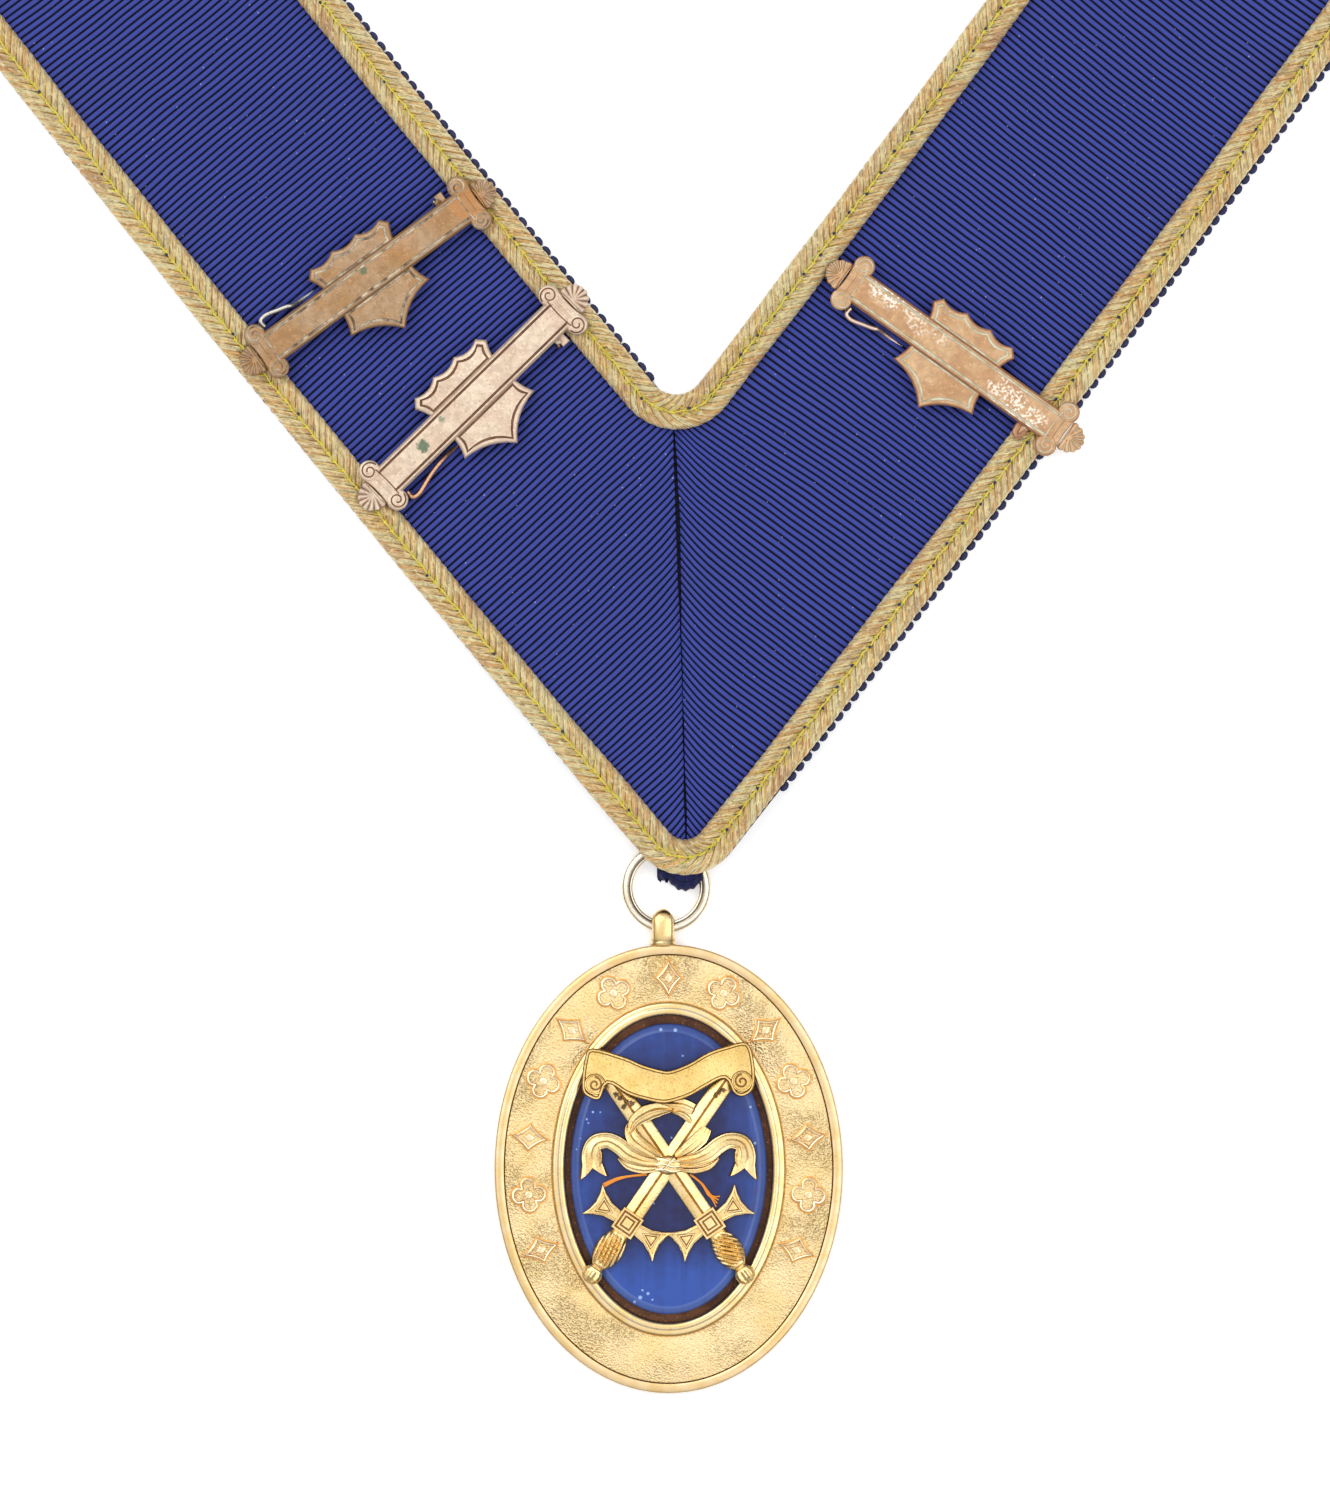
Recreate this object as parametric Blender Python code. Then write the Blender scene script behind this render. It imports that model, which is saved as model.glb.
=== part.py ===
"""A ceremonial neck collar laid flat, with its oval jewel and three pin-on bars.

Metres, +Z up. The collar lies on its back with the tip of its front towards -Y, the jewel below the
tip. The origin is under the middle of everything, on the surface that it lies on.
"""

import math

import bmesh
import bpy
from mathutils import Matrix, Vector

MM = 0.001
GAP = 0.3 * MM  # between two pieces that touch

# Collar, seen flat from above
COLLAR_WIDTH = 56.2 * MM  # one limb, from lace edge to lace edge
FRONT_HALF_ANGLE = math.radians(39.3)  # each limb from the line through the tip
LIMB_LENGTH = 187 * MM  # from the mitre to where the neck curve begins
LIMB_BOW_RADIUS = 3.7  # the limbs bulge outward very slightly
LAY_TILT = math.radians(1.1)  # the collar lies turned a little to the left

# Ribbons
BACKING_THICKNESS = 1.0 * MM
BACKING_PROUD = 0.35 * MM  # how much wider than the lace on each side
BACKING_SHIFT = 0.65 * MM  # the backing is sewn on a little towards +X
BACKING_TIP_RADIUS = 12 * MM
BACKING_NOTCH_RADIUS = 3.5 * MM
FACE_THICKNESS = 1.2 * MM
FACE_INSET = 1.0 * MM  # the lace overhangs the face ribbon by this

# Lace
LACE_WIDTH = 6.3 * MM
LACE_THICKNESS = 1.9 * MM
TIP_RADIUS = 6.9 * MM  # lace centreline round the tip
NOTCH_RADIUS = 8.3 * MM  # lace centreline round the inner notch

# The tip of the collar rides up over the tab and the ring
LIFT_FLAT = 12 * MM
LIFT_RAMP = 56 * MM

# Ring and tab
RING_WIRE = 1.9 * MM
RING_OUTER = 16.1 * MM
RING_ACROSS = -3.7 * MM  # ring centre from the tip corner
RING_HIDDEN = 5.7 * MM  # how far the ring reaches up under the lace
TAB_WIDTH = 6.8 * MM
TAB_THICKNESS = 0.8 * MM
TAB_BESIDE = 1.8 * MM  # tab centre from the ring centre
TAB_DROP = 0.7 * MM  # the tab's lowest point below the ring centre
TAB_LENGTH = 13 * MM

# Jewel
JEWEL_WIDTH = 62.6 * MM
JEWEL_HEIGHT = 80.6 * MM
BAND_WIDTH = 12.7 * MM  # from the rim to the opening
FRAME_THICKNESS = 3.0 * MM
BACK_THICKNESS = 0.8 * MM
BACK_INSET = 1.0 * MM
PLAQUE_THICKNESS = 2.9 * MM
PLAQUE_GAP_SIDE = 1.0 * MM
PLAQUE_GAP_END = 1.5 * MM
PLAQUE_BEVEL = 1.4 * MM
LOOP_WIDTH = 4.0 * MM
LOOP_LENGTH = 6.3 * MM
LOOP_WALL = 0.8 * MM
LOOP_ACROSS = -1.0 * MM  # the hanging loop from the jewel's middle line
JEWEL_ACROSS = 0.45 * MM  # jewel centre from the ring centre
MOTIF_COUNT = 13
MOTIF_SIZE = 5.4 * MM
MOTIF_RELIEF = 0.45 * MM

# Emblem and scroll on the plaque
SWORD_LEAN = math.radians(34.5)
SWORD_LENGTH = 46.5 * MM  # pommel to point
BLADE_WIDTH = 3.5 * MM
GUARD_SPAN = 15.4 * MM
EMBLEM_THICKNESS = 1.3 * MM
BOW_SPAN = 31.3 * MM
SCROLL_SPAN = 31 * MM
SCROLL_THICKNESS = 0.9 * MM
SCROLL_RISE = 16.9 * MM  # scroll centre above the plaque's centre
EMBLEM_RISE = 1.1 * MM  # knot above the plaque's centre

# Pin-on bars
BAR_LENGTH = 55.8 * MM  # between the ends of the shells
BAR_BODY_WIDTH = 5.9 * MM
BAR_PLATE_THICKNESS = 0.8 * MM
BAR_BODY_THICKNESS = 1.2 * MM
BAR_END_THICKNESS = 1.1 * MM
BAR_BODY_BEVEL = 0.35 * MM
BAR_PLATE_BEVEL = 0.22 * MM
BAR_SHIELD_DEPTH = 11.1 * MM
BAR_CREST_HEIGHT = 7.4 * MM
SCROLL_END_RADIUS = 1.95 * MM
SHELL_RADIUS = 2.8 * MM
LUG_SIZE = 1.6 * MM
LUG_DEPTH = 1.9 * MM  # below the bar's back
LUG_WALL = 0.35 * MM  # outside the pin
PIN_WIRE = 0.9 * MM

# Each bar: name, limb (1 right, -1 left), place up the limb, place outward from its middle,
# turn from square across the limb in degrees, side of the bar that the pin shows on, the hinge
# lug's place as a share of half the bar, colour
BARS = (
    ("1", -1, 89.3 * MM, -0.3 * MM, -2.9, 1, 0.62, (0.44, 0.27, 0.14)),
    ("2", -1, 60.9 * MM, -1.6 * MM, 4.9, -1, 0.62, (0.62, 0.47, 0.36)),
    ("3", 1, 74.2 * MM, 5.1 * MM, 1.6, -1, 0.50, (0.50, 0.29, 0.16)),
)

# Heights that follow from the pieces below
FACE_BASE = BACKING_THICKNESS + GAP
LACE_BASE = FACE_BASE + FACE_THICKNESS + GAP
BAR_BASE = LACE_BASE + LACE_THICKNESS + GAP
RING_BASE = TAB_THICKNESS + GAP
TAB_HEIGHT = RING_BASE + RING_WIRE + GAP + TAB_THICKNESS
TIP_LIFT = TAB_HEIGHT + GAP
LACE_TIP = (TIP_RADIUS + LACE_WIDTH / 2) * (1 / math.sin(FRONT_HALF_ANGLE) - 1)
RING_UP = LACE_TIP + RING_HIDDEN - RING_OUTER / 2  # ring centre above the tip corner
FRAME_BASE = BACK_THICKNESS + GAP
PLAQUE_BASE = BACK_THICKNESS + GAP
EMBLEM_BASE = max(PLAQUE_BASE + PLAQUE_THICKNESS, FRAME_BASE + FRAME_THICKNESS) + GAP
BLADE_RIDGE = 0.75 * EMBLEM_THICKNESS
SCROLL_BASE = EMBLEM_BASE + BLADE_RIDGE + GAP

# The path of the collar's centreline
APEX_HEIGHT = COLLAR_WIDTH / 2 / math.sin(FRONT_HALF_ANGLE)
SHOULDER_ANGLE = FRONT_HALF_ANGLE - LIMB_LENGTH / LIMB_BOW_RADIUS
SHOULDER_X = LIMB_BOW_RADIUS * (math.cos(SHOULDER_ANGLE) - math.cos(FRONT_HALF_ANGLE))
SHOULDER_Y = LIMB_BOW_RADIUS * (math.sin(FRONT_HALF_ANGLE) - math.sin(SHOULDER_ANGLE))
NECK_RADIUS = SHOULDER_X / math.cos(SHOULDER_ANGLE)
NECK_LENGTH = NECK_RADIUS * (SHOULDER_ANGLE + math.pi / 2)
HALF_LENGTH = LIMB_LENGTH + NECK_LENGTH

# Rows round the oval, the ring and the loop
OVAL_STEPS = 48
RING_STEPS = 28
TAB_FOLD_STEPS = 6
LOOP_STEPS = 14
LOOP_SQUARENESS = 0.7

# The band in section: share of its width from the rim, share of its thickness
BAND_PROFILE = (
    (0, 0), (0, 0.63), (0.03, 0.77), (0.12, 0.78), (0.145, 0.63), (0.47, 0.75),
    (0.80, 0.67), (0.83, 0.90), (0.90, 1), (0.975, 0.87), (1, 0.67), (1, 0),
)
FIELD_MIDDLE = 0.47  # share of the band's width from the rim
FIELD_HEIGHT = 0.75
PLAQUE_EDGE = 0.6  # share of the plaque's thickness below its bevel
MOTIF_FIRST = math.radians(205)
MOTIF_LAST = math.radians(-25)
LOZENGE_WIDTH = 0.72
LEAF_REACH = (1, 0.8, 0.45, 0.8)

# A sword from pommel to point: share of its length, then shares of half the blade's width and
# of the blade's ridge, or of the emblem's thickness in the grip
CROSSING = 0.557
BLADE_SECTIONS = ((0.31, 1, 1), (0.93, 1, 1), (0.985, 0.25, 0.67))
GRIP_SECTIONS = (
    (0, 0.4, 0.3), (0.012, 0.85, 0.7), (0.038, 1.03, 0.9), (0.065, 0.78, 0.8), (0.08, 0.9, 0.8),
    (0.11, 1.35, 0.95), (0.15, 1.45, 1), (0.19, 1.3, 0.95), (0.227, 0.98, 0.8), (0.26, 0.9, 0.7),
)
GRIP_SECTION = ((1, 0), (1, 0.35), (0.62, 0.85), (0, 1), (-0.62, 0.85), (-1, 0.35), (-1, 0))
GUARD_PLACE = 0.277
GUARD_BLOCK = 0.134  # half its side, as a share of the guard's span
GUARD_ARM = ((0.2, -0.125), (0.57, -0.18), (1, -0.39), (0.92, 0), (1, 0.39), (0.57, 0.18), (0.2, 0.125))

# The bow's outlines as shares of half its span, from the knot
KNOT_WIDTH = 0.17
KNOT_HEIGHT = 0.11
BOW_HEIGHT = 0.65
TAIL_OUTLINE = (
    (0.158, 0.086), (0.316, 0.10), (0.503, 0.216), (0.675, 0.316), (0.848, 0.345), (0.948, 0.259),
    (0.991, 0.10), (1, -0.172), (0.876, -0.057), (0.69, -0.086), (0.767, 0.029), (0.761, 0.129),
    (0.698, 0.115), (0.589, -0.014), (0.445, -0.095), (0.216, -0.10), (0.10, -0.057),
)
LEFT_LOOP = (
    (0.46, 0.33), (0.417, 0.503), (0.302, 0.618), (0.158, 0.667), (0.02, 0.618), (0.014, 0.546),
    (0.10, 0.46), (0.259, 0.417), (0.35, 0.35), (0.35, 0.22), (0.25, 0.11), (0.10, 0.04),
    (0.16, -0.02), (0.33, 0.08), (0.44, 0.2),
)
RIGHT_LOOP = (
    (0.03, 0.632), (0.158, 0.681), (0.287, 0.647), (0.244, 0.517), (0.10, 0.46), (0.03, 0.517),
)
LEAF = (
    (0.431, 0.417), (0.46, 0.33), (0.388, 0.187), (0.244, 0.057), (0.12, 0.04), (0.273, 0.273),
)

# The scroll's outline as shares of half its span
SCROLL_OUTLINE = (
    (-0.88, 0.316), (-0.507, 0.218), (-0.30, 0.13), (-0.09, 0.07), (0.03, 0.064), (0.237, 0.144),
    (0.445, 0.264), (0.653, 0.338), (0.907, 0.383), (0.989, 0.175), (0.995, -0.117), (0.89, -0.233),
    (0.762, -0.21), (0.653, -0.035), (0.445, -0.124), (0.266, -0.228), (0.058, -0.302),
    (-0.09, -0.317), (-0.30, -0.273), (-0.478, -0.214), (-0.70, -0.093), (-0.79, -0.268),
    (-0.907, -0.257), (-1, -0.152), (-0.97, 0.189),
)

# A bar's crest and shield: shares of half its length, and of the crest's height or shield's depth
CREST_FOOT = 0.26
CREST_CORNERS = ((0.303, 0.77), (0.261, 0.95), (0.09, 1), (-0.09, 1), (-0.261, 0.95), (-0.303, 0.77))
CREST_DIP = 0.11
SCALLOP_STEPS = 3
SHIELD_CORNERS = ((-0.297, 0.60), (0, 1), (0.297, 0.60))
SHIELD_DIPS = (0.1, 0.1)
SHIELD_STEPS = 4
SCROLL_OFFSET = 0.61  # share of the body's width
SHELL_LOBES = 7
SHELL_OPENING = math.radians(84)
SHELL_VALLEY = 0.9
# The pin: shares of half the bar's length and of the body's width, and whether it is above the
# ribbon. The first points are counted from the hinge lug, the others from the middle of the bar.
PIN_FALL = ((0, 0.67, 1), (-0.12, 0.67, 1), (-0.25, 0.67, 0))
PIN_RISE = (
    (-0.297, 0.67, 0), (-0.439, 0.67, 1), (-0.58, 0.82, 1), (-0.671, 0.93, 1),
    (-0.716, 0.82, 1), (-0.71, 0.64, 1),
)

# Rows of a strip: shares of the front zone, then even steps
FRONT_SHARES = (0, 0.02, 0.04, 0.06, 0.085, 0.12, 0.17, 0.24, 0.33, 0.42, 0.52, 0.63, 0.75, 0.87, 1)
LIMB_STEPS = 5
NECK_STEPS = 13
LIFT_STEPS = 12


def clear_scene():
    for item in list(bpy.data.objects):
        bpy.data.objects.remove(item, do_unlink=True)


def finish(name, colour, roughness, metallic):
    material = bpy.data.materials.new(name)
    material.use_nodes = True
    shader = material.node_tree.nodes["Principled BSDF"]
    shader.inputs["Base Color"].default_value = (*colour, 1)
    shader.inputs["Roughness"].default_value = roughness
    shader.inputs["Metallic"].default_value = metallic
    material.diffuse_color = (*colour, 1)
    return material


def make_object(name, bm, material, smooth_angle=40):
    """An object from a bmesh, its faces turned outward"""
    bmesh.ops.recalc_face_normals(bm, faces=bm.faces)
    mesh = bpy.data.meshes.new(name)
    bm.to_mesh(mesh)
    bm.free()
    mesh.materials.append(material)
    mesh.shade_smooth()
    mesh.set_sharp_from_angle(angle=math.radians(smooth_angle))
    item = bpy.data.objects.new(name, mesh)
    bpy.context.scene.collection.objects.link(item)
    return item


def place(item, parent, location=(0, 0, 0), turn=0.0):
    item.parent = parent
    item.location = location
    item.rotation_euler = (0, 0, turn)


def make_empty(name, parent=None, location=(0, 0, 0), turn=0.0):
    item = bpy.data.objects.new(name, None)
    bpy.context.scene.collection.objects.link(item)
    place(item, parent, location, turn)
    return item


def add_loft(bm, rings, closed=False):
    """Joins rings of points with quads. Open ends are capped."""
    made = [[bm.verts.new(point) for point in ring] for ring in rings]
    pairs = list(zip(made, made[1:]))
    if closed:
        pairs.append((made[-1], made[0]))
    for ring, following in pairs:
        for k in range(len(ring)):
            after = (k + 1) % len(ring)
            bm.faces.new((ring[k], ring[after], following[after], following[k]))
    if not closed:
        bm.faces.new(made[0])
        bm.faces.new(reversed(made[-1]))


def add_prism(bm, outline, low, high, crown=0.0):
    """An upright solid on a flat outline. With crown its top edge is drawn in by that much."""
    rings = [[(x, y, low) for x, y in outline]]
    if crown:
        rings.append([(x, y, high - crown) for x, y in outline])
        rings.append([(x, y, high) for x, y in inset_outline(outline, crown)])
    else:
        rings.append([(x, y, high) for x, y in outline])
    add_loft(bm, rings)


def inset_outline(outline, by):
    """The outline moved inward along the corners' bisectors"""
    area = sum(a[0] * b[1] - a[1] * b[0] for a, b in zip(outline, outline[1:] + outline[:1]))
    turn = 1 if area > 0 else -1
    moved = []
    for before, here, after in zip(outline[-1:] + outline[:-1], outline, outline[1:] + outline[:1]):
        arriving = (Vector(here) - Vector(before)).normalized()
        leaving = (Vector(after) - Vector(here)).normalized()
        inward = Vector((-arriving.y - leaving.y, arriving.x + leaving.x)) * turn
        spread = max(1 + arriving.dot(leaving), 0.5)
        moved.append(tuple(Vector(here) + inward * (by / spread)))
    return moved


def fuse(item, parts):
    """Unites an object with a guide object that holds the other parts"""
    boolean = item.modifiers.new("fuse", "BOOLEAN")
    boolean.operation = "UNION"
    boolean.use_self = True
    boolean.object = parts
    hide_guide(parts)


def cut(item, cutter):
    boolean = item.modifiers.new("cut", "BOOLEAN")
    boolean.operation = "DIFFERENCE"
    boolean.use_self = True
    boolean.object = cutter


def hide_guide(item):
    item.hide_render = True
    item.display_type = "WIRE"


def circle(radius, count, centre=(0, 0), start=0.0):
    return [
        (
            centre[0] + radius * math.cos(start + math.tau * k / count),
            centre[1] + radius * math.sin(start + math.tau * k / count),
        )
        for k in range(count)
    ]


def bowed_edge(start, end, dip, count):
    """Points from start up to end, drawn in to its left by dip at the middle"""
    ax, ay = start
    bx, by = end
    length = math.hypot(bx - ax, by - ay)
    points = []
    for k in range(count):
        share = k / count
        lean = 4 * share * (1 - share) * dip
        points.append(
            (
                ax + (bx - ax) * share - (by - ay) / length * lean,
                ay + (by - ay) * share + (bx - ax) / length * lean,
            )
        )
    return points


# Collar path


def heading_at(along):
    """The limb's direction from +Y, at a length along its centreline from the mitre"""
    if along <= 0:
        return FRONT_HALF_ANGLE
    if along <= LIMB_LENGTH:
        return FRONT_HALF_ANGLE - along / LIMB_BOW_RADIUS
    return SHOULDER_ANGLE - (along - LIMB_LENGTH) / NECK_RADIUS


def collar_point(along, outward):
    """A point of the right-hand limb, the tip corner being the zero of the plane"""
    heading = heading_at(along)
    if along <= 0:
        x, y = along * math.sin(heading), along * math.cos(heading)
    elif along <= LIMB_LENGTH:
        x = LIMB_BOW_RADIUS * (math.cos(heading) - math.cos(FRONT_HALF_ANGLE))
        y = LIMB_BOW_RADIUS * (math.sin(FRONT_HALF_ANGLE) - math.sin(heading))
    else:
        x = NECK_RADIUS * math.cos(heading)
        y = SHOULDER_Y + NECK_RADIUS * (math.sin(SHOULDER_ANGLE) - math.sin(heading))
    return Vector(
        (x + outward * math.cos(heading), y - outward * math.sin(heading) + APEX_HEIGHT)
    )


def seam_start(outward, x):
    """The length along the centreline where a line at this offset meets a seam at x"""
    along = -outward / math.tan(FRONT_HALF_ANGLE)
    for _ in range(8):
        along += (x - collar_point(along, outward).x) / math.sin(heading_at(along))
    return along


FRONT_ZONE = seam_start(-COLLAR_WIDTH / 2 - NOTCH_RADIUS, 0) + 6 * MM


def front_point(outward, corner, x, share):
    """A point of one lengthwise line of a strip, at a share of its way from the seam to the end of
    the front zone. The line turns the seam's corner on an arc of radius corner."""
    start = seam_start(outward - corner, 0)
    first = math.asin(x / corner)
    arc = corner * (math.pi / 2 - heading_at(start) - first)
    distance = share * (arc + FRONT_ZONE - start)
    if distance < arc:
        centre_y = collar_point(start, outward - corner).y
        turned = first + distance / corner
        return Vector((corner * math.sin(turned), centre_y - corner * math.cos(turned)))
    return collar_point(start + distance - arc, outward)


def strip_rows(lines, x):
    """Rows of points across a strip, from the front seam at x to the seam behind the neck"""
    rows = [[front_point(line[0], line[1], x, share) for line in lines] for share in FRONT_SHARES]
    steps = [
        FRONT_ZONE + (LIMB_LENGTH - FRONT_ZONE) * (k + 1) / LIMB_STEPS for k in range(LIMB_STEPS)
    ]
    steps += [LIMB_LENGTH + NECK_LENGTH * (k + 1) / NECK_STEPS for k in range(NECK_STEPS - 1)]
    rows += [[collar_point(along, line[0]) for line in lines] for along in steps]
    rows.append([Vector((x, collar_point(HALF_LENGTH, line[0]).y)) for line in lines])
    return rows


def lift_at(y):
    """How high the collar rides over the tab and the ring, by the distance above the tip"""
    share = min(max((y - LIFT_FLAT) / LIFT_RAMP, 0), 1)
    return TIP_LIFT * (1 - share * share * (3 - 2 * share))


def strip_rings(lines, rows, base, mirror):
    return [
        [
            (-point.x if mirror else point.x, point.y, base + line[2] + lift_at(point.y))
            for point, line in zip(row, lines)
        ]
        for row in rows
    ]


def whole_strip(name, lines, base, material):
    """A strip round the whole collar, closed on itself"""
    rows = strip_rows(lines, 0)
    right = strip_rings(lines, rows, base, False)
    left = strip_rings(lines, rows, base, True)
    bm = bmesh.new()
    add_loft(bm, right + left[-2:0:-1], closed=True)
    return make_object(name, bm, material)


def add_flat_side(bm, rows, seams, mirror):
    """One side of a flat ribbon: one face up to the end of the front zone, then a face a row.
    The seams' corners are shared between the sides of a ribbon that has both."""
    edges = []
    for index, row in enumerate(rows):
        pair = []
        for edge, point in enumerate(row):
            key = (index, edge)
            if key in seams:
                pair.append(seams[key])
                continue
            vertex = bm.verts.new((-point.x if mirror else point.x, point.y, 0))
            if index in (0, len(rows) - 1):
                seams[key] = vertex
            pair.append(vertex)
        edges.append(pair)
    front = edges[: len(FRONT_SHARES)]
    bm.faces.new([pair[0] for pair in front] + [pair[1] for pair in reversed(front)])
    for (outer, inner), (next_outer, next_inner) in zip(edges[len(front) - 1 :], edges[len(front) :]):
        bm.faces.new((outer, next_outer, next_inner, inner))


def make_ribbon(name, half_width, radii, layer, sides, material):
    """A flat ribbon on one or both sides of the collar, cut across at the lift's steps so that
    each of its faces stays flat when the tip is raised. Radii are those of the tip and the notch,
    and layer is its height and its thickness."""
    lines = ((half_width, radii[0]), (-half_width, radii[1]))
    rows = strip_rows(lines, GAP / 2 if len(sides) == 1 else 0)
    bm = bmesh.new()
    seams = {}
    for side in sides:
        add_flat_side(bm, rows, seams, side < 0)
    for k in range(LIFT_STEPS + 1):
        geometry = bm.verts[:] + bm.edges[:] + bm.faces[:]
        level = (0, LIFT_FLAT + LIFT_RAMP * k / LIFT_STEPS, 0)
        bmesh.ops.bisect_plane(bm, geom=geometry, plane_co=level, plane_no=(0, 1, 0))
    base, thickness = layer
    raised = bmesh.ops.extrude_face_region(bm, geom=bm.faces[:])["geom"]
    for item in raised:
        if isinstance(item, bmesh.types.BMVert):
            item.co.z = thickness
    for vertex in bm.verts:
        vertex.co.z += base + lift_at(vertex.co.y)
    return make_object(name, bm, material)


# Shares of the lace's half width, and of its thickness, round its two lobes and the groove
LACE_PROFILE = (
    (-1, 0), (-1, 0.45), (-0.78, 0.86), (-0.42, 1), (0, 0.62),
    (0.42, 1), (0.78, 0.86), (1, 0.45), (1, 0),
)


def lace_lines(outward, radius):
    return [
        (outward + side * LACE_WIDTH / 2, radius + side * LACE_WIDTH / 2, height * LACE_THICKNESS)
        for side, height in LACE_PROFILE
    ]


def build_ribbons(collar):
    navy = finish("navy_ribbon", (0.012, 0.014, 0.06), 0.8, 0)
    blue = finish("blue_ribbon", (0.03, 0.035, 0.24), 0.6, 0)
    half = COLLAR_WIDTH / 2 + BACKING_PROUD
    radii = (BACKING_TIP_RADIUS, BACKING_NOTCH_RADIUS)
    backing = make_ribbon("backing_ribbon", half, radii, (0, BACKING_THICKNESS), (1, -1), navy)
    place(backing, collar, (BACKING_SHIFT, 0, 0))
    half = COLLAR_WIDTH / 2 - FACE_INSET
    lace_edge = LACE_WIDTH / 2 - FACE_INSET
    radii = (TIP_RADIUS + lace_edge, NOTCH_RADIUS - lace_edge)
    faces = {}
    for name, side in (("ribbon_left", -1), ("ribbon_right", 1)):
        faces[side] = make_ribbon(name, half, radii, (FACE_BASE, FACE_THICKNESS), (side,), blue)
        place(faces[side], collar)
    return backing, faces


def build_laces(collar):
    gold = finish("gold_lace", (0.62, 0.45, 0.20), 0.45, 0.6)
    middle = COLLAR_WIDTH / 2 - LACE_WIDTH / 2
    outer = whole_strip("lace_outer", lace_lines(middle, TIP_RADIUS), LACE_BASE, gold)
    inner = whole_strip("lace_inner", lace_lines(-middle, NOTCH_RADIUS), LACE_BASE, gold)
    place(outer, collar)
    place(inner, collar)


def build_ring_and_tab(corner):
    """A plain wire ring, and the strap of cloth folded round it under the collar's tip"""
    middle = (RING_OUTER - RING_WIRE) / 2
    rings = []
    for k in range(RING_STEPS):
        angle = math.tau * k / RING_STEPS
        rings.append(
            [
                ((middle + out) * math.cos(angle), (middle + out) * math.sin(angle), up)
                for out, up in circle(RING_WIRE / 2, 6)
            ]
        )
    bm = bmesh.new()
    add_loft(bm, rings, closed=True)
    silver = finish("silver_gilt", (0.72, 0.66, 0.52), 0.25, 1)
    ring = make_object("hanging_ring", bm, silver, 70)
    place(ring, corner, (RING_ACROSS, RING_UP, RING_BASE + RING_WIRE / 2))

    outer, inner = TAB_HEIGHT / 2, TAB_HEIGHT / 2 - TAB_THICKNESS
    fold = [math.pi / 2 + math.pi * k / TAB_FOLD_STEPS for k in range(TAB_FOLD_STEPS + 1)]
    top = TAB_LENGTH - outer
    section = [(top, outer)] + [(outer * math.cos(a), outer * math.sin(a)) for a in fold]
    section += [(top, -outer), (top, -inner)]
    section += [(inner * math.cos(a), inner * math.sin(a)) for a in reversed(fold)]
    section.append((top, inner))
    sides = (-TAB_WIDTH / 2, TAB_WIDTH / 2)
    bm = bmesh.new()
    add_loft(bm, [[(x, y, z) for y, z in section] for x in sides])
    tab = make_object("ring_tab", bm, finish("navy_tab", (0.015, 0.018, 0.09), 0.85, 0))
    fold_y = RING_UP - TAB_DROP + outer
    place(tab, corner, (RING_ACROSS + TAB_BESIDE, fold_y, outer))


def oval(across, along, count=OVAL_STEPS):
    return [
        (across * math.cos(math.tau * k / count), along * math.sin(math.tau * k / count))
        for k in range(count)
    ]


def add_oval_plate(bm, levels):
    """A solid oval from rows of its two half axes and a height"""
    add_loft(bm, [[(x, y, up) for x, y in oval(across, along)] for across, along, up in levels])


def even_places(across, along, first, last, count):
    """Evenly spaced places on an oval between two angles, each with its outward direction"""
    fine = [first + (last - first) * k / 360 for k in range(361)]
    points = [Vector((across * math.cos(a), along * math.sin(a))) for a in fine]
    reached = [0.0]
    for before, here in zip(points, points[1:]):
        reached.append(reached[-1] + (here - before).length)
    places = []
    for k in range(count):
        wanted = reached[-1] * k / (count - 1)
        index = min(range(361), key=lambda i: abs(reached[i] - wanted))
        point = points[index]
        places.append((point, math.atan2(point.y / along**2, point.x / across**2)))
    return places


def motif_outline(kind):
    """A lozenge or a four-lobed leaf of the motif size, round its own centre"""
    if kind == "lozenge":
        half = MOTIF_SIZE / 2
        return [(half, 0), (0, half * LOZENGE_WIDTH), (-half, 0), (0, -half * LOZENGE_WIDTH)]
    outline = []
    for k in range(16):
        reach = LEAF_REACH[k % 4] * MOTIF_SIZE / 2
        angle = math.tau * k / 16
        outline.append((reach * math.cos(angle), reach * math.sin(angle)))
    return outline


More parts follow.
